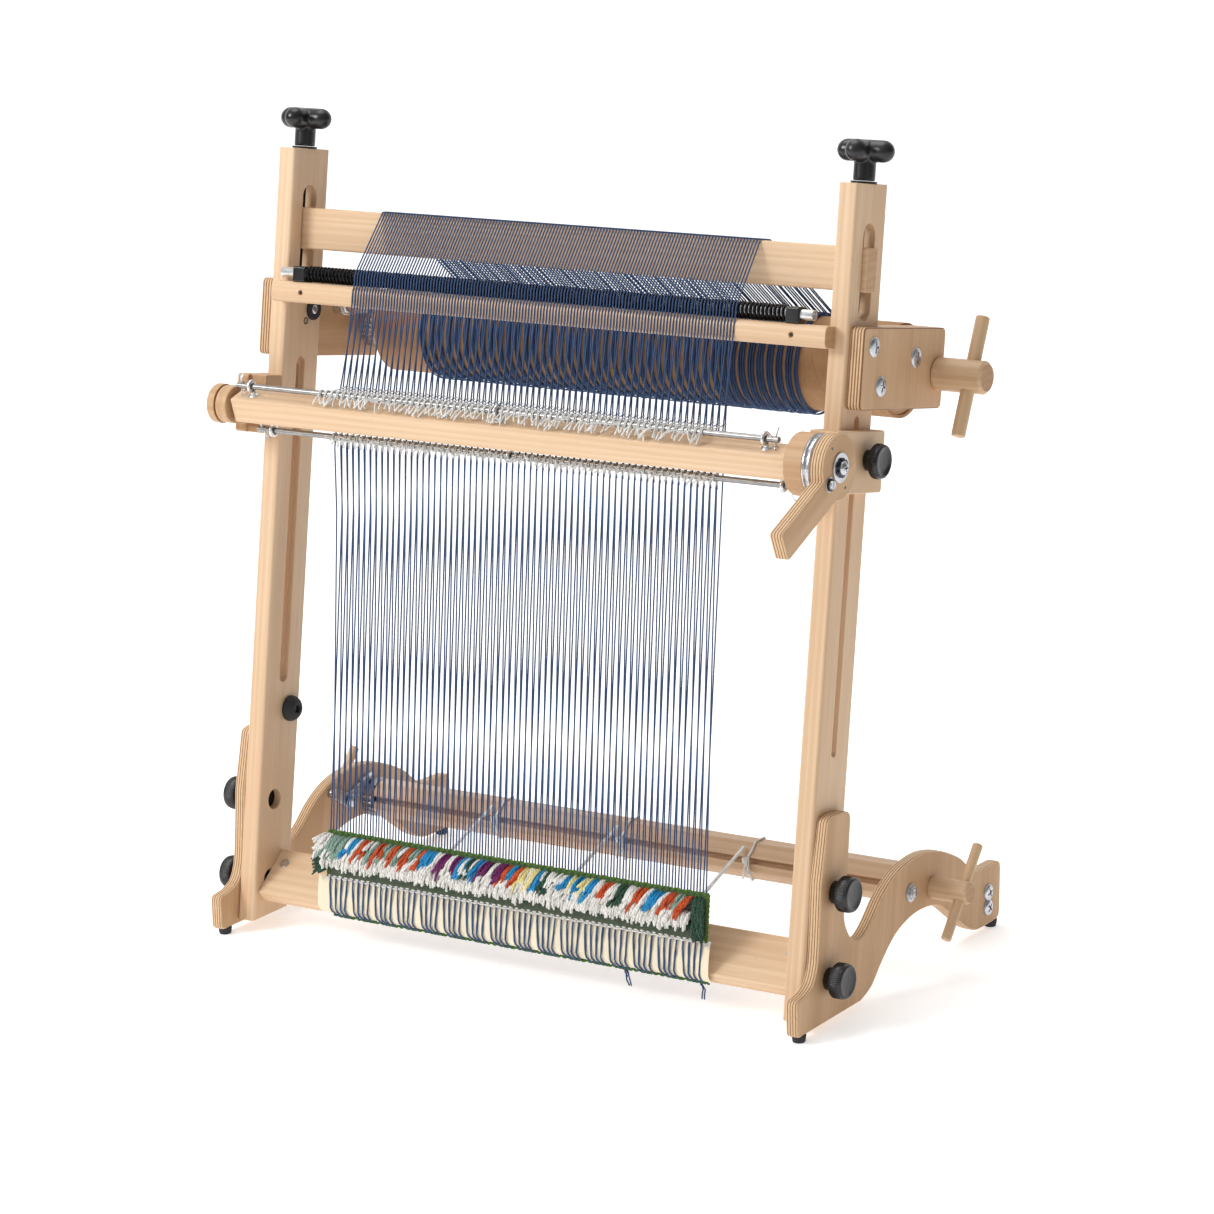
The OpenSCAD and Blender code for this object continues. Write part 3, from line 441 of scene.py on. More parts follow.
class Shape:
    """Collects the faces of one piece, each with a material number and UVs."""

    def __init__(self):
        self.points, self.faces, self.slots, self.uvs = [], [], [], []

    def grid(self, rings, closed_ring, closed_path, slot, us, vs):
        """Joins rings of points into faces."""
        first = len(self.points)
        size = len(rings[0])
        for ring in rings:
            self.points.extend(ring)
        across = size if closed_ring else size - 1
        along = len(rings) if closed_path else len(rings) - 1
        for i in range(along):
            for k in range(across):
                a = first + i * size + k
                b = first + i * size + (k + 1) % size
                j = (i + 1) % len(rings)
                c = first + j * size + (k + 1) % size
                d = first + j * size + k
                self.faces.append((a, b, c, d))
                self.slots.append(slot)
                u0, u1 = us[k], us[k + 1]
                v0, v1 = vs[i], vs[i + 1]
                self.uvs.extend(((u0, v0), (u1, v0), (u1, v1), (u0, v1)))

    def face(self, corners, slot=0):
        """One face without a place on the yarn's length."""
        self.faces.append(tuple(corners))
        self.slots.append(slot)
        self.uvs.extend([(0, 0)] * len(self.faces[-1]))

    def cap(self, start, size, slot, reverse):
        order = list(range(start, start + size))
        self.face(reversed(order) if reverse else order, slot)

    def slab(self, front, back, us, sides_turned=False):
        """A thin sheet between two grids of points, row by row, closed round its four edges.
        With sides_turned the faces of its two sides are wound the other way."""
        rows, size = len(front), len(front[0])
        first = len(self.points)
        self.grid(front, False, False, 0, us, [0] * rows)
        self.grid([list(reversed(row)) for row in back], False, False, 0, us, [0] * rows)

        def ahead(row, column):
            return first + row * size + column

        def behind(row, column):
            return first + (rows + row + 1) * size - column - 1

        for row in (0, rows - 1):
            for k in range(size - 1):
                edge = (ahead(row, k), ahead(row, k + 1), behind(row, k + 1), behind(row, k))
                self.face(edge if row else (edge[0], edge[3], edge[2], edge[1]))
        for column in (0, size - 1):
            for row in range(rows - 1):
                edge = (ahead(row, column), ahead(row + 1, column), behind(row + 1, column),
                        behind(row, column))
                turned = (column > 0) != sides_turned
                self.face((edge[0], edge[3], edge[2], edge[1]) if turned else edge)

    def tube(self, path, radius, sides=6, slot=0, closed=False, taper=None):
        """A round tube along a path of points in metres; radius in metres."""
        count = len(path)
        ahead = [path[(i + 1) % count if closed else min(i + 1, count - 1)] for i in range(count)]
        behind = [path[i - 1 if closed or i else 0] for i in range(count)]
        tangents = [(a - b).normalized() for a, b in zip(ahead, behind)]
        side = tangents[0].orthogonal().normalized()
        rings, vs, run = [], [0.0], 0.0
        for i, tangent in enumerate(tangents):
            side = (side - tangent * side.dot(tangent)).normalized()
            other = tangent.cross(side)
            r = radius * (taper(i / max(count - 1, 1)) if taper else 1)
            rings.append([path[i] + (side * math.cos(a) + other * math.sin(a)) * r
                          for a in around(sides)])
            if i:
                run += (path[i] - path[i - 1]).length / MM
                vs.append(run)
        vs.append(run + (path[0] - path[-1]).length / MM if closed else run)
        start = len(self.points)
        self.grid(rings, True, closed, slot, shares(sides), vs)
        if not closed:
            self.cap(start, sides, slot, True)
            self.cap(start + (count - 1) * sides, sides, slot, False)

    def lathe(self, profile, place, sides=48, slot=0, ribs=None):
        """Turns a profile of (radius, height) round place's Z axis, in millimetres.
        ribs is (how many, depth, lowest height, highest height) of a knurled rim."""
        rings = []
        for radius, height in profile:
            ring = []
            for angle in around(sides):
                r = radius
                if ribs and ribs[2] <= height <= ribs[3]:
                    r -= ribs[1] * (0.5 + 0.5 * math.cos(ribs[0] * angle))
                ring.append(place @ Vector((r * math.cos(angle) * MM, r * math.sin(angle) * MM,
                                            height * MM)))
            rings.append(ring)
        start = len(self.points)
        self.grid(rings, True, False, slot, shares(sides), [height for _, height in profile])
        if profile[0][0] > 0:
            self.cap(start, sides, slot, True)
        if profile[-1][0] > 0:
            self.cap(start + (len(profile) - 1) * sides, sides, slot, False)

    def add(self, mesh, place, slot=0):
        """Adds a copy of a mesh."""
        start = len(self.points)
        self.points.extend(place @ v.co for v in mesh.vertices)
        for polygon in mesh.polygons:
            self.face([start + i for i in polygon.vertices], slot)

    def mesh(self, name, materials):
        mesh = bpy.data.meshes.new(name)
        mesh.from_pydata([tuple(p) for p in self.points], [], self.faces)
        for material in materials:
            mesh.materials.append(material)
        mesh.polygons.foreach_set("material_index", self.slots)
        layer = mesh.uv_layers.new(name="length")
        layer.data.foreach_set("uv", [c for uv in self.uvs for c in uv])
        mesh.polygons.foreach_set("use_smooth", [True] * len(mesh.polygons))
        mesh.validate()
        return mesh

    def piece(self, name, materials, body=None, stands_for=(), sharp=40):
        """Makes the shape a piece that rides on a body and stands for CAD nodes."""
        made = bpy.data.objects.new(name, self.mesh(name, materials))
        made.data.set_sharp_from_angle(angle=math.radians(sharp))
        bpy.context.scene.collection.objects.link(made)
        if body:
            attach(made, body)
        if stands_for:
            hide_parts(*stands_for)
        return made


def facing(place, direction, up=Vector((0, 0, 1))):
    """A frame at a place whose Z axis points along direction."""
    z = direction.normalized()
    x = up.cross(z)
    if x.length < 1e-6:
        x = z.orthogonal()
    x.normalize()
    y = z.cross(x)
    turn = Matrix((x, y, z)).transposed().to_4x4()
    return Matrix.Translation(place) @ turn


def baked(made):
    """Applies a piece's modifiers to its mesh."""
    depsgraph = bpy.context.evaluated_depsgraph_get()
    mesh = bpy.data.meshes.new_from_object(made.evaluated_get(depsgraph))
    made.modifiers.clear()
    made.data = mesh


def eased(node, material, width, angle=32, segments=3):
    """A copy of a CAD node with its edges rounded over, which stands for the node."""
    work = bmesh.new()
    work.from_mesh(NODES[node].data)
    bmesh.ops.remove_doubles(work, verts=work.verts, dist=2e-6)
    bmesh.ops.dissolve_limit(work, angle_limit=math.radians(0.6), verts=work.verts,
                             edges=work.edges)
    mesh = bpy.data.meshes.new(node + "_eased")
    work.to_mesh(mesh)
    work.free()
    made = bpy.data.objects.new(node + "_eased", mesh)
    bpy.context.scene.collection.objects.link(made)
    mesh.materials.clear()
    mesh.materials.append(material)
    bevel = made.modifiers.new("ease", "BEVEL")
    bevel.width = width * MM
    bevel.segments = segments
    bevel.limit_method = "ANGLE"
    bevel.angle_limit = math.radians(angle)
    bevel.use_clamp_overlap = False
    baked(made)
    made.data.polygons.foreach_set("use_smooth", [True] * len(made.data.polygons))
    made.data.set_sharp_from_angle(angle=math.radians(38))
    weigh = made.modifiers.new("weigh", "WEIGHTED_NORMAL")
    weigh.keep_sharp = True
    baked(made)
    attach(made, BODY_OF[node])
    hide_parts(node)
    return made


def paint(node, material):
    """Gives a CAD node that stays in view its finished material."""
    mesh = NODES[node].data
    if not mesh.materials:
        mesh.materials.append(material)
    for index in range(len(mesh.materials)):
        mesh.materials[index] = material


# ------------------------------------------------------------------ wooden parts

def make_wood():
    edges = {"post_left": 0.6, "post_right": 0.6, "bottom_plank": 0.7, "front_stick": 0.7,
             "top_beam": 0.8, "shed_beam": 0.8, "cloth_beam": 1.2, "roller_core": 0.5}
    for node, width in edges.items():
        eased(node, WOODS[node], width)
    for node, stock, width in (("warp_crank_hub", "crank", 0.4), ("warp_crank_dowel", "dowel", 0.4),
                               ("cloth_crank_hubs", "crank", 0.4),
                               ("cloth_crank_dowels", "dowel", 0.4),
                               ("shed_block_left", "beech", 1.2),
                               ("shed_block_right", "pale_block", 1.2),
                               ("shed_disc", "beech_round", 0.8), ("shed_cap", "beech_round", 0.8)):
        eased(node, WOODS[stock], width)
    for node in ("foot_plate_left", "foot_plate_right"):
        eased(node, ply_material(node, 9, ALONG_POST, (0.6, 1.9, 0.3)), 1.8)
    for node in ("warp_bracket_left", "warp_bracket_right"):
        eased(node, ply_material(node, 10, ALONG_POST, (2.2, 0.8, 1.2), 0.46), 1.6)
    side_grain = (math.radians(90) + LEAN, 0, 0)
    low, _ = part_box("bracket_spacers")
    spacer_ply = 0.00137
    eased("bracket_spacers", plywood("plywood_spacers", side_grain, low[0], spacer_ply), 0.8)
    lever_grain = (math.radians(66), 0, 0)
    eased("shed_lever", ply_material("shed_lever", 9, lever_grain, (0.2, 0.9, 2.0)), 1.4)


# ------------------------------------------------------------------ hardware

def cross_cut(mesh, size, depth, top):
    """Cuts a cross recess into the top of a screw head mesh."""
    head = bpy.data.objects.new("head", mesh)
    cutter_shape = Shape()
    for turn in (0, 90):
        arm = Matrix.Rotation(math.radians(turn), 4, "Z")
        box = [(x, y, z) for z in (top - depth, top + 2) for x, y in
               ((-size, -size * 0.2), (size, -size * 0.2), (size, size * 0.2), (-size, size * 0.2))]
        start = len(cutter_shape.points)
        cutter_shape.points.extend(arm @ (Vector(p) * MM) for p in box)
        for face in ((3, 2, 1, 0), (4, 5, 6, 7), (0, 1, 5, 4), (1, 2, 6, 5), (2, 3, 7, 6),
                     (3, 0, 4, 7)):
            cutter_shape.face([start + i for i in face])
    cutters = bpy.data.objects.new("cutters", cutter_shape.mesh("cutters", []))
    for made in (head, cutters):
        bpy.context.scene.collection.objects.link(made)
    cut = head.modifiers.new("cut", "BOOLEAN")
    cut.operation = "DIFFERENCE"
    cut.solver = "EXACT"
    cut.use_self = True
    cut.object = cutters
    bpy.context.view_layer.update()
    baked(head)
    result = head.data
    bpy.data.objects.remove(head)
    bpy.data.objects.remove(cutters)
    return result


def head_mesh(radius, height, edge, recess=0.58):
    """A domed screw head with a cross recess, standing on Z = 0."""
    shape = Shape()
    steps = [(radius * math.cos(a), edge + (height - edge) * math.sin(a))
             for a in [math.radians(d) for d in (0, 15, 30, 45, 60, 75, 86)]]
    shape.lathe([(radius, 0.0)] + steps, Matrix.Identity(4), 40)
    return cross_cut(shape.mesh("screw_head", []), radius * recess, height * 0.7, height)


def slot_head_mesh(radius, height, edge):
    """A domed head with a straight slot."""
    shape = Shape()
    half = radius * 0.12
    for side in (-1, 1):
        ring = [Vector((side * half, -math.sqrt(radius ** 2 - half ** 2), 0))]
        for k in range(17):
            a = math.radians(-90 + 180 * k / 16)
            ring.append(Vector((side * max(radius * math.cos(a), half), radius * math.sin(a), 0)))
        top = [p * 0.86 + Vector((side * half * 0.14, 0, height)) for p in ring]
        mid = [p + Vector((0, 0, edge)) for p in ring]
        loops = [[p * MM for p in r] for r in (ring, mid, top)]
        if side < 0:
            loops = [list(reversed(r)) for r in loops]
        start = len(shape.points)
        size = len(ring)
        shape.grid(loops, True, False, 0, [0] * (size + 1), [0, 0, 0])
        shape.cap(start, size, 0, True)
        shape.cap(start + 2 * size, size, 0, False)
    return shape.mesh("slot_head", [])


def hex_profile(shape, place, across_flats, low, high):
    """A hexagon nut or bolt head with a chamfered face."""
    r = across_flats / math.sqrt(3)
    shape.lathe([(r, low), (r, high - 0.6), (r * 0.9, high)], place, 6)


def washer(shape, place, outer, inner, low, high):
    """A flat washer with eased outer edges."""
    shape.lathe([(inner, low), (outer - 0.2, low), (outer, low + 0.2), (outer, high - 0.2),
                 (outer - 0.2, high), (inner, high), (inner, low)], place, 40)


# Faces that hardware sits on, by their distance from the loom's middle
PLATE_FACE, PLATE_INNER, BRACKET_FACE = 330.5, 318.5, 333.5
POST_INNER = 299.5
KNOB_FACE, SHED_KNOB_FROM, SHED_KNOB_TO = 352.5, 331.7, 350
LEVER_FACE = 345
PAWL_BOLT_Y, PAWL_BOLT_Z = 200, 84


def out_of(side):
    """The direction out of the loom on one side."""
    return ACROSS * side


def make_screws():
    """Screws of the warp brackets, the feet, the stick and the plank."""
    shape = Shape()
    big = head_mesh(9.2, 2.5, 0.6)
    small = head_mesh(8.0, 3.4, 1.2)
    slotted = slot_head_mesh(5.2, 1.1, 0.4)
    rng = random.Random(4)
    for side in (-1, 1):
        for t, s in ((23.8, 611.1), (103.7, 601.4), (41, 575.8)):
            place = facing(post(side * BRACKET_FACE, t, s), out_of(side))
            shape.add(big, place @ Matrix.Rotation(rng.uniform(0, 1.5), 4, "Z"))
        for y, z in ((355.5, 39.8), (355, 24.5)):
            place = facing(floor(side * PLATE_FACE, y, z), out_of(side))
            shape.add(small, place @ Matrix.Rotation(rng.uniform(0, 1.5), 4, "Z"))
        tilt = math.radians(38)
        top = Vector((0, -math.sin(tilt), math.cos(tilt)))
        along = Vector((0, math.cos(tilt), math.sin(tilt)))
        place = facing(floor(side * 287.5, 22.2, 39.3) + along * 38 * MM, top)
        shape.add(slotted, place @ Matrix.Rotation(rng.uniform(0, 1.5), 4, "Z"))
        # A dark disc in a shallow dimple on the stick's front: painted shade standing for a screw hole
        hole = facing(post(side * 271, -16.6, 617.5), -BACK)
        shape.lathe([(1.7, 0), (1.6, 0.15), (0.9, 0.1), (0.4, -0.5), (0, -0.5)], hole, 20, 1)
    # A dark disc on the left post's inner face: painted shade standing for a pilot hole
    pilot = facing(post(-POST_INNER, 32.9, 588.7), ACROSS)
    shape.lathe([(3.6, 0), (3.4, 0.12), (2.4, 0.1), (0.9, -0.8), (0, -0.8)], pilot, 24, 1)
    shape.piece("frame_screws_detail", [ZINC, PAINTED_HOLE_SHADE], "frame", ["frame_screws"])


def make_pawl_bolts():
    """Pivot bolts of the two pawls: washer, hexagon nut and slotted end on the plates."""
    shape = Shape()
    slotted = slot_head_mesh(4.6, 2.4, 1.2)
    for side in (-1, 1):
        out = facing(floor(side * PLATE_FACE, PAWL_BOLT_Y, PAWL_BOLT_Z), out_of(side))
        washer(shape, out, 9, 3, 0, 1.5)
        hex_profile(shape, out, 11, 1.5, 4.2)
        shape.add(slotted, out @ Matrix.Translation((0, 0, 4.0 * MM)))
        inside = facing(floor(side * PLATE_INNER, PAWL_BOLT_Y, PAWL_BOLT_Z), out_of(-side))
        shape.lathe([(2.85, -12), (2.85, 4.4), (2.85, 5.0), (6.5, 5.0), (6.5, 7.4), (5.2, 8.6),
                     (0, 9.0)], inside, 32)
    head = facing(post(-302, 88, 604), ACROSS)
    shape.lathe([(3, -2), (3, 10.6), (7, 10.6), (7, 12.2), (6, 13.6), (0, 14.4)], head, 32)
    shape.piece("pawl_bolts_detail", [ZINC], "frame", ["pawl_bolts"])


def hand_knob(shape, place, radius, neck, low, high, ribs=60):
    """A black hand knob with a knurled rim and a dished face."""
    rim = low + 9
    profile = [(0, low), (neck - 0.5, low), (neck, low + 0.5), (neck, low + 6.2),
               (neck + 0.8, low + 7.2), (radius - 2.2, low + 7.6), (radius - 0.9, low + 8.2),
               (radius, rim), (radius, high - 4.6), (radius - 0.5, high - 4.0),
               (radius - 0.7, high - 3.6), (radius - 0.6, high - 2.4), (radius - 1.2, high - 1.2),
               (radius - 2.4, high - 0.6), (radius - 3.4, high - 0.7), (radius - 4.6, high - 1.3),
               (radius * 0.4, high - 1.9), (0, high - 2.0)]
    shape.lathe(profile, place, 4 * ribs, 0, (ribs, 0.8, rim - 0.1, high - 4.5))


def make_hand_knobs():
    """Two knobs on each foot plate and one on each shed block."""
    foot = (PLATE_FACE, 24.7, 16.5, 10.5, KNOB_FACE - PLATE_FACE)
    shed_side = (SHED_KNOB_FROM, 28.5, 16, 9.5, SHED_KNOB_TO - SHED_KNOB_FROM)
    for side, word in ((-1, "left"), (1, "right")):
        for node, s, knob in (("foot_knob_%s_upper" % word, 119, foot),
                              ("foot_knob_%s_lower" % word, 39.7, foot),
                              ("shed_knob_" + word, 510, shed_side)):
            face, t, radius, neck, high = knob
            shape = Shape()
            hand_knob(shape, facing(post(side * face, t, s), out_of(side)), radius, neck, 0.3, high)
            shape.piece(node + "_detail", [PLASTIC], BODY_OF[node], [node], 50)


def make_bumpers_and_feet():
    """Rubber bumpers on the posts' inner faces, with their screws, and the rubber feet."""
    rubber = Shape()
    steel = Shape()
    screw = head_mesh(4.4, 1.8, 0.5, 0.5)
    for side in (-1, 1):
        dome = facing(post(side * POST_INNER, 41, 208), out_of(-side))
        rubber.lathe([(12.4, 0), (12.8, 1.5), (12.3, 4.5), (10.8, 7.4), (8.4, 9.6), (6.2, 10.4),
                      (4.6, 10.3), (3.9, 9.6), (3.9, 5.5), (0, 5.5)], dome, 48)
        steel.add(screw, dome @ Matrix.Translation((0, 0, 5.4 * MM)) @ Matrix.Scale(0.8, 4))
        ring = facing(post(side * POST_INNER, 43.3, 600), out_of(-side))
        rubber.lathe([(10.2, 0), (10.5, 0.5), (10.4, 2.4), (9.6, 3.0), (6.2, 2.8), (5.4, 2.0),
                      (0, 2.0)], ring, 48)
        steel.add(screw, ring @ Matrix.Translation((0, 0, 1.9 * MM)))
        for y, drop in ((0, 0.8), (372, 1.4)):
            foot = Matrix.Translation(floor(side * 324.5, y, 0))
            rubber.lathe([(0, 0), (5.4 - drop * 0.4, 0), (6.2 - drop * 0.4, 0.5), (6.75, 5.8),
                          (6.75, 7.0), (0, 7.0)], foot, 36)
    rubber.piece("rubber_parts", [RUBBER], "frame", ["rubber_feet", "post_bumpers"])
    steel.piece("bumper_screws", [ZINC], "frame")


def make_tension():
    """Four-lobed knobs, blended at their roots, on threaded rods."""
    for side, word in ((-1, "left"), (1, "right")):
        node = "tension_knob_" + word
        made = bpy.data.objects.new(node + "_detail", NODES[node].data.copy())
        bpy.context.scene.collection.objects.link(made)
        remesh = made.modifiers.new("skin", "REMESH")
        remesh.mode = "VOXEL"
        remesh.voxel_size = 0.9 * MM
        remesh.use_smooth_shade = True
        smooth = made.modifiers.new("soften", "SMOOTH")
        smooth.factor = 0.5
        smooth.iterations = 9
        baked(made)
        made.data.materials.clear()
        made.data.materials.append(PLASTIC)
        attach(made, BODY_OF[node])
        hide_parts(node)
        rod = Shape()
        low, high, pitch, radius, depth = 636, 756, 1.5, 4.0, 0.7
        turns = int((high - low) / pitch)
        foot = facing(post(side * 309, 28.5, low), UP)
        profile = [(0, 0)]
        for i in range(turns):
            profile += [(radius - depth, i * pitch), (radius, (i + 0.5) * pitch)]
        profile += [(radius - depth, turns * pitch), (0, turns * pitch)]
        rod.lathe(profile, foot, 24)
        node = "tension_rod_" + word
        rod.piece(node + "_detail", [BLACK_STEEL], BODY_OF[node], [node], 20)
    paint("tension_washers", PLASTIC)
    paint("foot_bolts", BLACK_STEEL)


SPRING_AT = (-6.7, 635.8)


def make_spring():
    """The spacing spring on its aluminium tube, held by two clamp blocks."""
    wire, pitch, radius = 2.7, 4.2, 6.65
    x0, x1 = -269.5, 262
    tube_x, tube_long = -300, 588
    turns = (x1 - x0 - wire) / pitch
    steps = 14
    axis = post(0, *SPRING_AT)
    path = []
    for i in range(int(turns * steps) + 1):
        angle = 2 * math.pi * i / steps
        x = x0 + wire / 2 + pitch * i / steps
        path.append(Vector((CENTRE_X + x * MM, axis.y, axis.z))
                    + (BACK * math.cos(angle) + UP * math.sin(angle)) * radius * MM)
    coil = Shape()
    coil.tube(path, wire / 2 * MM, 6)
    coil.piece("warp_spring_coil", [BLACK_STEEL], "frame", ["warp_spring"], 80)
    tube = Shape()
    place = facing(post(tube_x, *SPRING_AT), ACROSS)
    tube.lathe([(3.9, 3), (3.9, 0.2), (4.8, 0.0), (5.0, 0.3), (5.0, tube_long - 0.3),
                (4.8, tube_long), (3.9, tube_long - 0.2), (3.9, tube_long - 3)], place, 40)
    tube.piece("spring_tube_detail", [ALUMINIUM], "frame", ["spring_tube"])
    eased("spring_clamps", PLASTIC, 0.9)


# ------------------------------------------------------------------ shedding device

SHED = Vector(JOINTS["shed_lever_turn"]["pos_m"])
SHED_TURN = math.radians(16.7)
SHED_UP = Vector((0, -math.sin(SHED_TURN), math.cos(SHED_TURN)))
SHED_BACK = Vector((0, math.cos(SHED_TURN), math.sin(SHED_TURN)))
ROD_UP, ROD_DOWN, ROD_R = 21.8, -24.0, 2.75


def shed(x, back, up):
    """A place by the swinging beam: x across, back and up in its own section, in millimetres."""
    return Vector((CENTRE_X + x * MM, SHED.y, SHED.z)) + (SHED_BACK * back + SHED_UP * up) * MM


def eyebolt(shape, x, rod):
    """A cast eye round the heddle rod, with a collar and a shank into the beam."""
    way = 1 if rod > 0 else -1
    radius, beam_half = 5.0, 12.3
    ring = [shed(x, radius * math.cos(a), rod + radius * math.sin(a)) for a in around(28)]
    shape.tube(ring, 1.75 * MM, 12, 0, True)
    foot = facing(shed(x, 0, way * beam_half), SHED_UP * way)
    reach = abs(rod) - beam_half - radius
    shape.lathe([(5.0, 0), (5.2, 0.5), (4.6, 1.2), (2.9, 2.0), (2.5, 3.0), (2.5, reach),
                 (3.1, reach + 0.8), (2.0, reach + 1.4), (0, reach + 1.4)], foot, 28)


def hitch_pin(shape, x, rod, seed):
    """A spring pin through the rod's end: a ring, a straight leg and a wavy leg."""
    rng = random.Random(seed)
    lean = rng.uniform(-0.3, 0.3)
    out = (SHED_UP * math.cos(lean) - SHED_BACK * math.sin(lean)).normalized()
    over = ACROSS * 0.35 + out.cross(ACROSS) * 0.9
    centre = shed(x, 0, rod)
    loop = 4.5 * MM
    path = [centre + out * (10 - 20 * f) * MM for f in shares(8)]
    loop_centre = centre - out * 10 * MM + over * loop
    for f in shares(14)[1:]:
        a = math.radians(180 + 300 * f)
        path.append(loop_centre + (over * math.cos(a) + out * math.sin(a)) * loop)
    end = path[-1]
    for f in shares(12)[1:]:
        wave = 2.6 * math.sin(f * math.pi * 2.0)
        path.append(end + out * 17 * f * MM + over * (wave - 1.5 * f) * MM
                    + ACROSS * 2.2 * min(1, f * 4) * MM)
    shape.tube(path, 0.65 * MM, 8)


def cotter(shape, x, rod):
    """A split pin through the rod's end, its two legs bent apart."""
    centre = shed(x, 0, rod)
    for way in (-1, 1):
        path = [centre - SHED_UP * 7 * MM + SHED_BACK * way * 1.0 * MM]
        for f in shares(7):
            bent = way * (0.5 + 7 * f * f)
            path.append(centre + SHED_UP * (-6 + 16 * f) * MM + SHED_BACK * bent * 0.6 * MM
                        + ACROSS * bent * 0.5 * MM)
        shape.tube(path, 0.75 * MM, 8)
    ring = [centre - SHED_UP * 9.5 * MM + (SHED_UP * math.cos(a) + SHED_BACK * math.sin(a)) * 2.8 * MM
            for a in around(16)]
    shape.tube(ring, 0.75 * MM, 8, 0, True)


def make_shed_hardware():
    """Eyebolts, heddle rods with their pins, and the ring bearing by the lever."""
    eyes = Shape()
    for xs, rod in (((-295, -12, 273), ROD_UP), ((-281, -8, 284), ROD_DOWN)):
        for x in xs:
            eyebolt(eyes, x, rod)
    eyes.piece("eyebolts_detail", [NICKEL], "shed_bar", ["eyebolts"])
    rods = Shape()
    for x0, x1, rod in ((-312, 288, ROD_UP), (-300, 297, ROD_DOWN)):
        place = facing(shed(x0, 0, rod), ACROSS)
        rods.lathe([(0, 0), (ROD_R - 0.5, 0), (ROD_R, 0.5), (ROD_R, x1 - x0 - 0.5),
                    (ROD_R - 0.5, x1 - x0), (0, x1 - x0)], place, 32)
    rods.piece("heddle_rods_detail", [ROD_STEEL], "shed_bar", ["heddle_rods"])
    pins = Shape()
    hitch_pin(pins, -307, ROD_UP, 1)
    hitch_pin(pins, -294, ROD_DOWN, 2)
    cotter(pins, 283, ROD_UP)
    hitch_pin(pins, 292, ROD_DOWN, 3)
    pins.piece("rod_pins", [ZINC], "shed_bar")
    ring = Shape()
    place = facing(shed(322, 0, 0), ACROSS)
    ring.lathe([(8, 0), (28.3, 0), (28.5, 0.3), (28.5, 1.4), (27.4, 2.0), (26.6, 3.4), (26.6, 4.4),
                (27.6, 5.0), (28.3, 5.5), (28.3, 6.6), (27.4, 7.4), (26.2, 8.6), (26.6, 9.6), (26.2, 10),
                (8, 10), (8, 0)], place, 96)
    ball_ring, ball_high = 26.7, 3.9
    for a in around(16):
        spot = facing(place @ Vector((ball_ring * math.cos(a) * MM, ball_ring * math.sin(a) * MM,
                                      ball_high * MM)),
                      place.to_3x3() @ Vector((math.cos(a), math.sin(a), 0)))
        ring.lathe([(1.5, 0), (1.3, 0.6), (0.6, 1.0), (0, 1.1)], spot, 12)
    ring.piece("shed_ring_detail", [ZINC], "shed_bar", ["shed_ring"])
    make_lever_bolt()


def make_lever_bolt():
    """On the lever: washer, black star nut and cross-headed bolt, and a slotted bolt beside."""
    shape = Shape()
    pivot_t, pivot_s = -44.7, 506.5

    def on_lever(t, s):
        return facing(post(LEVER_FACE, pivot_t + t, pivot_s + s), ACROSS)

    axis = facing(Vector((CENTRE_X + LEVER_FACE * MM, SHED.y, SHED.z)), ACROSS)
    washer(shape, axis, 13.5, 4, 0, 1.5)
    lobes, hollow = 6, 1.1
    star = []
    for radius, height in ((8.6, 1.5), (8.9, 2.0), (8.9, 3.4), (8.2, 4.0), (4, 4.2)):
        ring = []
        for a in around(72):
            r = radius - (hollow * max(0.0, math.cos(lobes * a)) if radius > 6 else 0)
            ring.append(axis @ Vector((r * math.cos(a) * MM, r * math.sin(a) * MM, height * MM)))
        star.append(ring)
    shape.grid(star, True, False, 1, [0] * 73, [0] * 5)
    shape.add(head_mesh(6.4, 4.4, 1.4, 0.5), axis @ Matrix.Translation((0, 0, 2.4 * MM)), 0)
    bolt = on_lever(-16.7, -14.6)
    washer(shape, bolt, 6.9, 2.5, 0, 0.9)
    shape.lathe([(5.9, 0.9), (5.9, 2.2), (5.3, 2.6), (3.6, 2.6)], bolt, 32, 1)
    shape.add(slot_head_mesh(4.4, 3.9, 2.4), bolt @ Matrix.Translation((0, 0, 0.5 * MM)), 0)
    for t, s in ((-16, 17), (12, -18)):
        shape.lathe([(1.3, 0), (1.3, 0.12), (0, 0.12)], on_lever(t, s), 16, 1)
    shape.piece("lever_fasteners_detail", [ZINC, PLASTIC], "shed_bar",
                ["lever_fasteners"])


# ------------------------------------------------------------------ pawls and ratchets

def make_pawls():
    eased("warp_pawl", NICKEL, 0.8)
    eased("cloth_pawl", ZINC, 0.5)
    eased("warp_ratchet", NICKEL, 0.35, 20, 2)
    eased("cloth_ratchet", ZINC, 0.35, 20, 2)
    paint("cardboard_tube", CARDBOARD)
    eased("shed_clamp_bolts", ZINC, 0.4)
    paint("warp_rod", ROD_STEEL)


# ------------------------------------------------------------------ warp

ENDS = 128
WARP_W = 424
THREAD_R = 0.70
END_X = [-WARP_W / 2 + WARP_W * i / (ENDS - 1) for i in range(ENDS)]
NOSE = (19.6, 38.6)
PLANK_LOW = (31.5, 26.0)
WARP_ROD = (92, 43)
FELL_Z, TWINE_Z = 114, 69
STICK_FRONT = post(0, -18.2, 613)
# Places in t and s where the warp leaves the spring, meets the beam and leaves it again
OFF_SPRING, BEAM_FRONT, BEAM_TOP = (-14.2, 641.5), (18.4, 696.5), (36.8, 699.1)


def warp_y(z):
    """The straight warp's y at height z, from the plank's nose to the front stick, in millimetres."""
    top_y = (STICK_FRONT.y - POST_FOOT.y) / MM + POST_FOOT_Y
    top_z = (STICK_FRONT.z - POST_FOOT.z) / MM + POST_FOOT_Z
    return NOSE[0] + (top_y - NOSE[0]) * (z - NOSE[1]) / (top_z - NOSE[1])


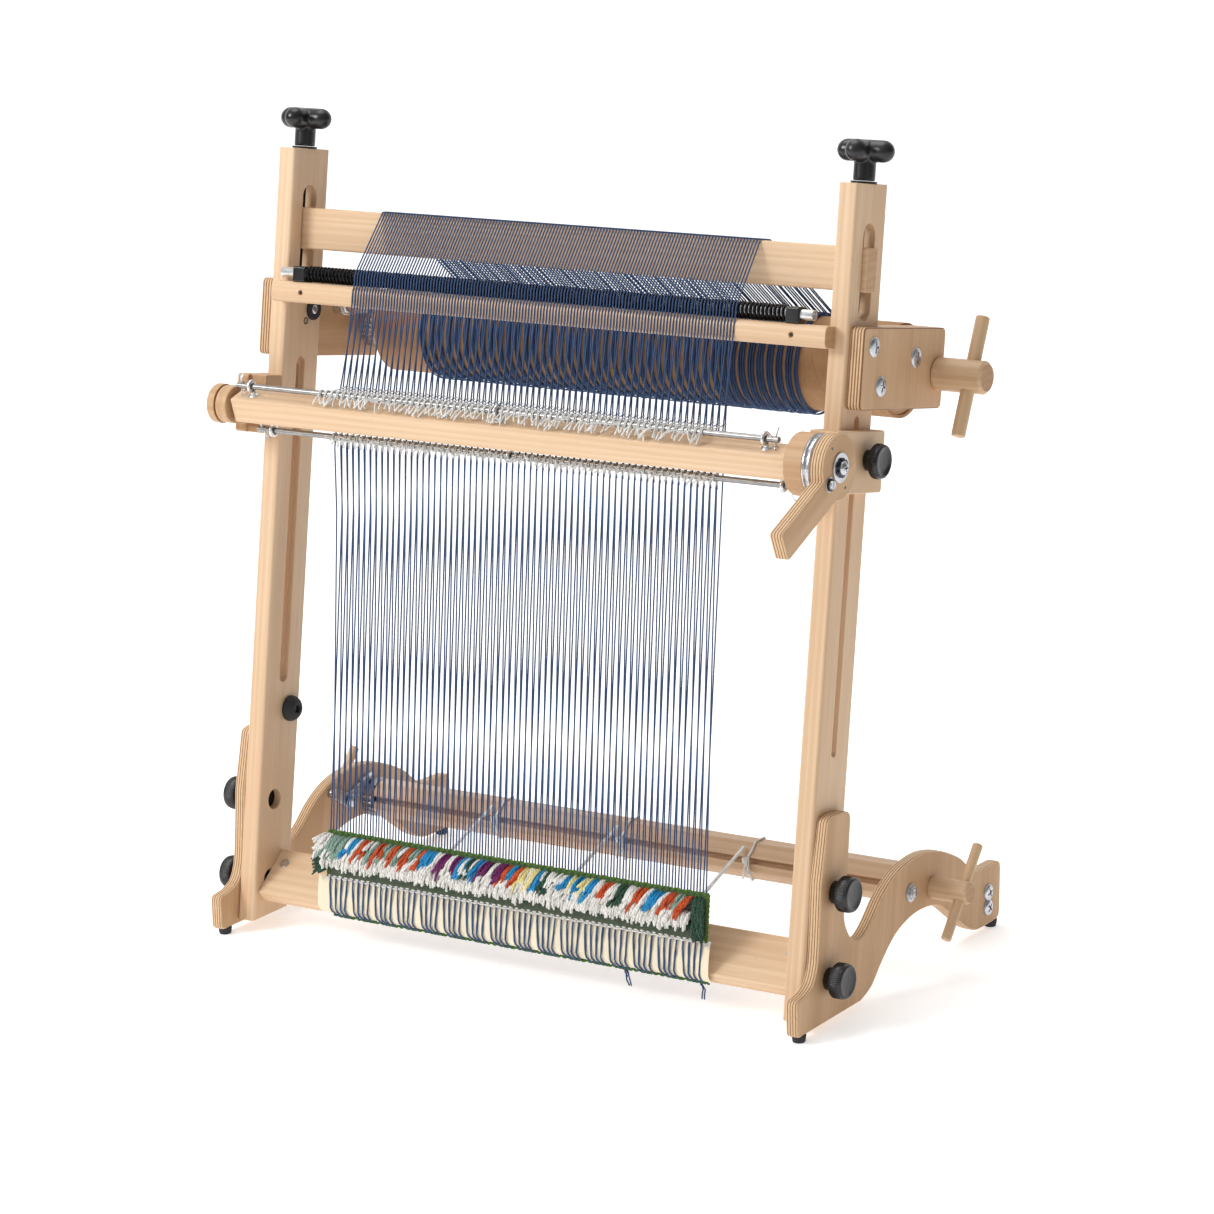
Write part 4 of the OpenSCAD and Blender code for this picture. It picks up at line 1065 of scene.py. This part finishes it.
# The lower heddles pull every other end forward by PULL, most at SHED_Z
SHED_Z, HEDDLE_Z, STICK_Z = 485, 540, 617
PULL = 15.9


def spread(x, left):
    """Moves the ends of the left half sideways, the more the nearer to the left edge."""
    share = min(0.0, x / (WARP_W / 2))
    return x + left * share ** 2


def thread_path(x, i, rng):
    """One warp end from inside the rug up over the front stick and into the spring."""
    pull = PULL if i % 2 else 0
    sway = rng.uniform(-0.35, 0.35)
    path = [floor(x, warp_y(TWINE_Z), TWINE_Z), floor(x, warp_y(FELL_Z), FELL_Z)]
    for k in range(1, 6):
        f = k / 6
        z = lerp(FELL_Z, SHED_Z, f)
        path.append(floor(x + sway * math.sin(math.pi * f), warp_y(z) - pull * f, z))
    path.append(floor(spread(x, -3), warp_y(SHED_Z) - pull, SHED_Z))
    for z in (511, HEDDLE_Z, 580):
        path.append(floor(spread(x, -3.5 if z < 560 else 0), warp_y(z)
                          - pull * (STICK_Z - z) / (STICK_Z - SHED_Z), z))
    x = spread(x, 3)
    path += [post(x, -18.0, 609), post(x, -18.1, 618), post(x, -17.4, 624), post(x, -16.0, 627.6),
             post(x, -15.5, 632), post(x, -15.5, 637.5), post(x, *OFF_SPRING)]
    return path


def make_warp():
    """The warp in four pieces: front, up to the beam, down to the roller, and wound on it."""
    rng = random.Random(11)
    front = Shape()
    for i, x in enumerate(END_X):
        front.tube(thread_path(x, i, rng), THREAD_R * MM, 6)
    front.piece("warp_front", [NAVY], "frame", ["warp_sheet"], 80)

    upper = Shape()
    for i, x in enumerate(END_X):
        top_x = spread(x, 6)
        start, end = post(spread(x, 3), *OFF_SPRING), post(top_x, *BEAM_FRONT)
        path = [lerp(start, end, f) for f in shares(5)]
        path += [post(top_x, 18.9, 698.3), post(top_x, 20.3, 699.1), post(top_x, 28.5, 699.3),
                 post(top_x, *BEAM_TOP)]
        upper.tube(path, THREAD_R * MM, 6)
    made = upper.piece("warp_up_to_beam", [NAVY], None, ["warp_over_beam"], 80)
    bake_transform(made)

    lower = Shape()
    edge_t, edge_s = 38.0, 698.6
    centre_t, centre_s, radius = 147.8, 586.5, 48.9
    away = math.hypot(edge_t - centre_t, edge_s - centre_s)
    bearing = math.atan2(edge_s - centre_s, edge_t - centre_t)
    touch = bearing - math.acos(radius / away)
    for i, x in enumerate(END_X):
        shift = rng.uniform(-1.0, 1.0)
        end = post(x + shift, centre_t + radius * math.cos(touch), centre_s + radius * math.sin(touch))
        top_x = spread(x, 6)
        path = [post(top_x, *BEAM_TOP), post(top_x, 37.7, 698.7)]
        path += [lerp(post(top_x, edge_t, edge_s), end, f) for f in shares(6)]
        lower.tube(path, THREAD_R * MM, 6)
    made = lower.piece("warp_down_to_roller", [NAVY], None, (), 80)
    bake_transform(made)

    # Two layers on the roller, gathered in threes and slack underneath but for the right end
    wound = Shape()
    slack_to = 120
    for i, x in enumerate(END_X):
        gather = 0.55 if x < slack_to else 0.25
        settle = (END_X[min(i // 3 * 3 + 1, ENDS - 1)] - x) * gather + rng.uniform(-0.35, 0.35)
        loose = rng.uniform(1.0, 4.5) if x < slack_to else 0.6
        for layer in range(2):
            shift = settle + rng.uniform(-0.15, 0.15)
            radius = 44.8 + 1.9 * layer + rng.uniform(0, 0.6)
            ring = []
            for a in around(44):
                low = max(0.0, -math.sin(a) - 0.25) ** 2
                r = radius + 1.2 * low * layer
                ring.append(post(x + shift + low * loose * (layer - 0.3) + 0.25 * math.sin(3 * a + i),
                                 centre_t + r * math.cos(a), centre_s + r * math.sin(a)))
            wound.tube(ring, THREAD_R * MM, 5, 0, True)
    wound.piece("warp_wound", [NAVY], "warp_roller", ["warp_winding"], 80)


# ------------------------------------------------------------------ rug

WOOL = {
    "white": (0.90, 0.86, 0.78), "sage": (0.25, 0.38, 0.31), "blue": (0.005, 0.26, 0.56),
    "orange": (0.60, 0.075, 0.010), "purple": (0.155, 0.008, 0.11), "yellow": (0.86, 0.72, 0.33),
    "pine": (0.014, 0.060, 0.030), "moss": (0.055, 0.145, 0.008),
}
# Colours along the top band, left to right, each with the share of the width that it takes
BAND = [("white", 8), ("sage", 26), ("blue", 10), ("white", 6), ("orange", 12), ("sage", 9),
        ("orange", 9), ("sage", 9), ("orange", 9), ("sage", 9), ("orange", 9), ("sage", 7),
        ("orange", 9), ("blue", 12), ("white", 9), ("purple", 9), ("white", 7), ("purple", 8),
        ("blue", 11), ("pine", 9), ("blue", 9), ("purple", 9), ("white", 8), ("purple", 10),
        ("orange", 7), ("blue", 7), ("orange", 8), ("yellow", 18), ("blue", 9), ("pine", 15),
        ("white", 8), ("blue", 8), ("yellow", 8), ("blue", 8), ("yellow", 8), ("blue", 7),
        ("white", 9), ("orange", 9), ("white", 9), ("pine", 12), ("white", 10), ("orange", 11),
        ("white", 6), ("blue", 13), ("white", 6), ("orange", 11), ("sage", 8), ("orange", 8)]
RUG_X0, RUG_X1 = -212, 214


def tuft(shape, x, z, reach, drop, slant, strands, rng, slot):
    """A cut knot: a few yarn ends that stand out of the ground and hang over."""
    for _ in range(strands):
        dx, dz = rng.uniform(-1.3, 1.3), rng.uniform(-1.0, 1.0)
        out = reach * rng.uniform(0.8, 1.15)
        fall = drop * rng.uniform(0.8, 1.2)
        lean = slant + rng.uniform(-1.6, 1.6)
        base_y = warp_y(z + dz) - 1.6
        path = []
        for f in shares(4):
            path.append(floor(x + dx + lean * f * f, base_y - out * math.sin(f * 1.9) / math.sin(1.9)
                              if f * 1.9 < 1.57 else base_y - out * (1.02 - 0.08 * (f - 0.8)),
                              z + dz - fall * f ** 1.7))
        shape.tube(path, rng.uniform(0.95, 1.2) * MM, 6, slot, False,
                   lambda f: 0.75 + 0.45 * math.sin(math.pi * min(1, f * 0.75 + 0.15)))


def make_rug():
    """The woven ground, the knotted pile, and the cords along its edges."""
    rng = random.Random(23)
    names = list(WOOL)
    materials = [yarn("wool_" + name, WOOL[name], 3, 3.6, 0.0005, 0.18) for name in names]
    number = {name: k for k, name in enumerate(names)}

    ground = Shape()
    columns = 54
    rows = [(TWINE_Z + 0.5, 0.9), (TWINE_Z + 2, 1.6), (92, 1.7), (FELL_Z - 1.5, 1.5), (FELL_Z, 0.8)]
    faces = [[[floor(lerp(RUG_X0, RUG_X1, f), warp_y(z) + way * half, z) for f in shares(columns)]
              for z, half in rows] for way in (-1, 1)]
    ground.slab(*faces, shares(columns), sides_turned=True)
    cloth = ground.piece("rug_ground", [MOSS_WEAVE], "frame", ["rug"])

    pile = Shape()
    total = sum(width for _, width in BAND)
    x = RUG_X0 - 2
    span = (RUG_X1 - 14) - x
    for colour, width in BAND:
        step = span * width / total
        across = max(2, round(step / 3.4))
        for k in range(across):
            at = x + step * (k + 0.5) / across
            for z in (109.5, 104.5, 99.5):
                stray = "white" if rng.random() < (0.08 if z > 100 else 0.4) else colour
                tuft(pile, at + rng.uniform(-0.7, 0.7) - (109.5 - z) * 0.75, z, rng.uniform(7, 10.5),
                     rng.uniform(7, 12), -5.5, 3, rng, number[stray])
        x += step
    # Below the band: white knots, then short green ones, and green or white ones at the edges
    for k in range(124):
        at = RUG_X0 - 3 + k * 3.35
        for z in (95, 90.5):
            tuft(pile, at, z, rng.uniform(6.5, 9.5), rng.uniform(8, 12), -1.5, 4, rng, number["white"])
    for k in range(128):
        at = RUG_X0 - 2 + k * 3.3
        tuft(pile, at, 86, 5.0, rng.uniform(4, 7), -1.6, 3, rng, number["pine"])
    for z in range(78, 112, 4):
        for x in (RUG_X1 - 11, RUG_X1 - 7, RUG_X1 - 3):
            tuft(pile, x, z, 5.0, 8.0, 1.0, 3, rng, number["pine"])
        colour = "white" if z > 90 else "pine"
        for x in (RUG_X0 - 5, RUG_X0 + 1):
            tuft(pile, x, z + 1, 7.0, 7.0, -9.0, 3, rng, number[colour])
    pile.piece("rug_pile", materials, "frame", (), 80)

    edges = Shape()
    for z, colour, radius in ((FELL_Z - 0.6, "moss", 1.5), (FELL_Z - 3.4, "moss", 1.4),
                              (TWINE_Z + 1.2, "white", 0.9), (TWINE_Z - 0.8, "white", 0.9)):
        path = []
        for k in range(260):
            at = lerp(RUG_X0 - 1, RUG_X1 + 1, k / 259)
            weave = math.sin(k * math.pi / 2 + (1.6 if z < TWINE_Z else 0))
            path.append(floor(at, warp_y(z) - 0.6 - weave, z + 0.35 * math.sin(k * 0.9)))
        edges.tube(path, radius * MM, 6, number[colour])
    for x, way in ((RUG_X1, 1), (RUG_X0, -1)):
        path = [floor(x + way * (0.6 + 0.5 * math.sin(z * 1.3)), warp_y(z) - 0.4, z)
                for z in range(TWINE_Z, FELL_Z, 2)]
        edges.tube(path, 1.7 * MM, 8, number["moss"])
    knot = floor(RUG_X1 + 2.5, warp_y(TWINE_Z) - 1, TWINE_Z - 1)
    for turn in range(3):
        ring = [knot + Vector((2.2 * math.cos(a), 1.2 * math.sin(a + turn),
                               2.0 * math.sin(a + 0.7 * turn))) * MM for a in around(14)]
        edges.tube(ring, 0.8 * MM, 6, number["white"], True)
    trim = edges.piece("rug_edges", materials, "frame", (), 80)


def make_card():
    """The cream card behind the warp's ends, bent under the plank's nose."""
    shape = Shape()
    x0, x1 = -225, 218
    section = [(warp_y(TWINE_Z - 1) + 1.4, TWINE_Z - 1), (warp_y(60) + 0.2, 60), (warp_y(50) - 0.6, 50),
               (NOSE[0] + 0.2, NOSE[1] + 1), (NOSE[0] + 1.6, NOSE[1] - 3.2), (NOSE[0] + 7.0, 30.4)]
    columns, thickness = 24, 0.5
    faces = []
    for depth in (0, thickness):
        rows = []
        for y, z in section:
            row = []
            for k in range(columns + 1):
                curl = 1.6 * max(0, (k - columns + 2) / 2) ** 2 * (TWINE_Z - z) / 40
                row.append(floor(lerp(x0, x1, k / columns) + 0.02 * (TWINE_Z - z), y - curl + depth, z))
            rows.append(row)
        faces.append(rows)
    shape.slab(*faces, [0] * (columns + 1))
    shape.piece("card_strip_detail", [CARD], "frame", ["card_strip"])


def make_warp_ends():
    """Below the rug: pairs of ends in groups of four lines, round the nose to the rod behind."""
    rng = random.Random(31)
    lines = ENDS // 2
    shape = Shape()
    rod_y, rod_z = WARP_ROD
    for i in range(lines):
        x = lerp(RUG_X0 + 2, RUG_X1 - 4, i / (lines - 1))
        group = i // 4
        middle_x = lerp(RUG_X0 + 2, RUG_X1 - 4, (group * 4 + 1.5) / (lines - 1))
        low = lerp(x, middle_x + 2.5, 0.2) + rng.uniform(-0.5, 0.5)
        far = lerp(x, middle_x, 0.8)
        for pair in (-0.42, 0.42):
            path = [floor(x + pair, warp_y(TWINE_Z + 2), TWINE_Z + 2)]
            for f in shares(4)[1:]:
                z = lerp(TWINE_Z, NOSE[1], f)
                bow = rng.uniform(-0.3, 0.3)
                path.append(floor(lerp(x, low, f ** 1.3) + pair * (1 - 0.2 * f) + bow,
                                  warp_y(z) - 1.3, z))
            path += [floor(low + pair, NOSE[0] + 0.6, NOSE[1] - 3.8),
                     floor(lerp(low, far, 0.2) + pair, PLANK_LOW[0] - 4.6, PLANK_LOW[1] + 2.6),
                     floor(lerp(low, far, 0.35) + pair, PLANK_LOW[0] + 1.0, PLANK_LOW[1] - 0.9),
                     floor(lerp(low, far, 0.6) + pair, PLANK_LOW[0] + 20, PLANK_LOW[1] + 3.8),
                     floor(far + pair, rod_y - 2.5, rod_z - 3.4),
                     floor(far + pair, rod_y + 3.0, rod_z - 2.4),
                     floor(far + pair, rod_y + 3.2, rod_z + 2.2)]
            shape.tube(path, 0.58 * MM, 6)
    for x, count in ((118, 3), (201, 2)):
        for k in range(count):
            start = floor(x + k * 1.5, PLANK_LOW[0] + 2, PLANK_LOW[1] - 1.2)
            path = [start + Vector((rng.uniform(0.6, 1.6) * f * 5, -3 * f, -14 * f * f)) * MM
                    for f in shares(5)]
            shape.tube(path, 0.7 * MM, 6)
    shape.piece("warp_ends", [NAVY], "frame", (), 80)
    green = Shape()
    for row in range(2):
        path = []
        for k in range(240):
            at = lerp(RUG_X0 + 1, RUG_X1 - 1, k / 239)
            over = 0.9 * math.sin(k * 1.55 + row * 2.4)
            path.append(floor(at, PLANK_LOW[0] - 4.3 + row * 3.2 - over * 0.3,
                              PLANK_LOW[1] + 3.0 - row * 1.9 - over * 0.7))
        green.tube(path, 1.0 * MM, 6)
    green.piece("heading_cord", [yarn("moss_cord", WOOL["moss"], 2, 2.6)], "frame", (), 80)


# ------------------------------------------------------------------ heddles and cords

def make_heddles():
    """String heddles: a knot on the rod, loops back to the warp and loose tails."""
    rng = random.Random(47)
    at_rod = Shape()
    loops = Shape()
    for i, x in enumerate(END_X):
        on_top = i % 2 == 0
        rod = ROD_UP if on_top else ROD_DOWN
        x += rng.uniform(-0.6, 0.6)
        for turn in range(2):
            dx = (turn - 0.5) * 1.5
            tilt = rng.uniform(-0.6, 0.6)
            ring = [shed(x + dx + tilt * math.cos(a), 3.45 * math.cos(a), rod + 3.45 * math.sin(a))
                    for a in around(12)]
            at_rod.tube(ring, 0.6 * MM, 5, 0, True)
        for _ in range(3 if on_top else 2):
            length = rng.uniform(8, 17) if on_top else rng.uniform(6, 13)
            swing = rng.uniform(-1.0, 0.45)
            curl = rng.uniform(-2.5, 2.5)
            drop = rng.uniform(4, 9) if on_top else rng.uniform(-1, 5)
            if rng.random() < 0.2:
                drop = -rng.uniform(2, 6)
            path = []
            for f in shares(5):
                path.append(shed(x + length * 0.75 * swing * f + curl * f * f,
                                 -3.4 - length * 0.62 * f,
                                 rod + 1.5 - drop * f ** 1.3 + curl * 0.3 * math.sin(math.pi * f)))
            at_rod.tube(path, 0.62 * MM, 5, 0, False, lambda f: 1.0 if f < 0.8 else 1.25)
        at_z = HEDDLE_Z if on_top else SHED_Z
        warp_at = floor(END_X[i], warp_y(at_z) - (0 if on_top else PULL) + 1.2, at_z)
        for pair in (-0.7, 0.7):
            start = shed(x + pair, 3.6, rod)
            end = Vector((warp_at.x + pair * MM, warp_at.y, warp_at.z))
            path = [lerp(start, end, f) - Vector((0, 0, 1.2 * math.sin(math.pi * f))) * MM
                    for f in shares(5)]
            loops.tube(path, 0.5 * MM, 5)
    at_rod.piece("heddle_knots", [STRING], "shed_bar", (), 80)
    made = loops.piece("heddle_loops", [STRING], None, ["heddles"], 80)
    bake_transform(made)


CLOTH_AXIS = Vector(JOINTS["cloth_beam_turn"]["pos_m"])


def cloth(x, back, up):
    return Vector((CENTRE_X + x * MM, CLOTH_AXIS.y + back * MM, CLOTH_AXIS.z + up * MM))


CORD_X, CORD_R = (-158, -10, 134), 1.05


def make_apron_cords():
    """Three cords from the rod under the plank to the cloth beam, each looped round it."""
    rng = random.Random(5)
    rod_y, rod_z = WARP_ROD
    shape = Shape()
    for x in CORD_X:
        for pair in (-1.1, 1.1):
            start = floor(x + pair, rod_y + 2.5, rod_z + 3.6)
            end = cloth(x + pair * 0.6, -15.5, 15.6)
            path = [floor(x + pair, rod_y - 3.6, rod_z), floor(x + pair, rod_y - 1.5, rod_z + 3.8)]
            path += [lerp(start, end, f) for f in shares(8)]
            shape.tube(path, CORD_R * MM, 6)
    shape.piece("apron_cords_run", [STRING], "frame", ["apron_cords"], 80)
    loops = Shape()
    flat = 18.5 + 1.3
    corner = flat / math.cos(math.radians(22.5))
    for x in CORD_X:
        ring = []
        for k in range(8):
            a = math.radians(22.5 + 45 * k)
            for f in (0.0, 0.33, 0.66):
                b = math.radians(22.5 + 45 * (k + 1))
                p = lerp(Vector((math.cos(a), math.sin(a), 0)), Vector((math.cos(b), math.sin(b), 0)), f)
                ring.append(cloth(x + 6 + 3.0 * math.sin(a), corner * p.x, corner * p.y))
        loops.tube(ring, CORD_R * MM, 6, 0, True)
        for turn in range(3):
            knot = cloth(x + 4, -flat - 1.2, 4)
            ring = [knot + Vector((2.4 * math.cos(a), 1.2 * math.sin(2 * a + turn),
                                   2.6 * math.sin(a + 0.8 * turn))) * MM
                    for a in around(16)]
            loops.tube(ring, 1.0 * MM, 6, 0, True)
        for tail in range(2):
            lean = rng.uniform(1.0, 3.0) * (1 if tail else -0.4)
            path = [cloth(x + 5 + lean * f * 3, -flat - 1.6 - 1.2 * f, 2 - 15 * f - 2 * f * f)
                    for f in shares(6)]
            loops.tube(path, 0.95 * MM, 6)
    loops.piece("apron_cord_loops", [STRING], "cloth_beam", (), 80)


# ------------------------------------------------------------------ light and floor

def make_stage():
    """A white sweep, three soft lights, and a sky that is dimmer low down and on the right."""
    shader = Shader("studio_floor")
    grain = shader.noise(shader.place(), 60, 3, 0.5)
    shader.set(base_color=shader.ramp(grain, (0.3, 0.93), (0.7, 0.95)), roughness=0.9,
               specular_ior_level=0.1)
    shader.set(emission_color=(1, 1, 1, 1), emission_strength=0.42)
    size, curve_start, curve = 9.0, 3.2, 2.0
    shape = Shape()
    rows = [(-size, 0.0), (curve_start, 0.0)]
    for f in shares(12)[1:]:
        a = math.radians(90 * f)
        rows.append((curve_start + curve * math.sin(a), curve * (1 - math.cos(a))))
    rows.append((curve_start + curve, 8.0))
    sheet = [[Vector((-size, y, z)), Vector((size, y, z))] for y, z in rows]
    shape.grid(sheet, False, False, 0, [0, 1], [0] * len(rows))
    sweep = bpy.data.objects.new("studio_sweep", shape.mesh("studio_sweep", [shader.material]))
    sweep.data.flip_normals()
    bpy.context.scene.collection.objects.link(sweep)
    sweep.rotation_euler = (0, 0, math.radians(32.9))

    def area(name, place, target, size, power):
        data = bpy.data.lights.new(name, "AREA")
        data.shape = "RECTANGLE"
        data.size, data.size_y = size
        data.energy = power
        light = bpy.data.objects.new(name, data)
        light.matrix_world = facing(Vector(place), Vector(place) - Vector(target))
        bpy.context.scene.collection.objects.link(light)

    area("key", (-1.9, -2.6, 2.3), (0, 0, 0.35), (1.3, 1.3), 68)
    area("top", (-0.5, 0.2, 3.2), (0, 0, 0.3), (2.0, 2.0), 34)
    area("fill", (3.0, -1.4, 1.4), (0, 0, 0.4), (1.6, 1.6), 2.5)
    world = bpy.data.worlds.new("studio")
    world.use_nodes = True
    tree = world.node_tree
    background = tree.nodes["Background"]
    split = tree.nodes.new("ShaderNodeSeparateXYZ")
    tree.links.new(tree.nodes.new("ShaderNodeTexCoord").outputs["Generated"], split.inputs["Vector"])
    both = tree.nodes.new("ShaderNodeMath")
    both.operation = "MULTIPLY"
    for k, (axis, limits) in enumerate((("Z", (-0.1, 0.75, 0.20, 0.72)), ("X", (0.0, 0.9, 1.0, 0.30)))):
        fade = tree.nodes.new("ShaderNodeMapRange")
        for key, value in zip(("From Min", "From Max", "To Min", "To Max"), limits):
            fade.inputs[key].default_value = value
        tree.links.new(split.outputs[axis], fade.inputs["Value"])
        tree.links.new(fade.outputs["Result"], both.inputs[k])
    tree.links.new(both.outputs[0], background.inputs["Strength"])
    background.inputs["Color"].default_value = (1, 1, 1, 1)
    bpy.context.scene.world = world
    bpy.context.scene.view_settings.view_transform = "Standard"


make_wood()
make_screws()
make_pawl_bolts()
make_hand_knobs()
make_bumpers_and_feet()
make_tension()
make_spring()
make_shed_hardware()
make_pawls()
make_warp()
make_rug()
make_card()
make_warp_ends()
make_heddles()
make_apron_cords()
make_stage()
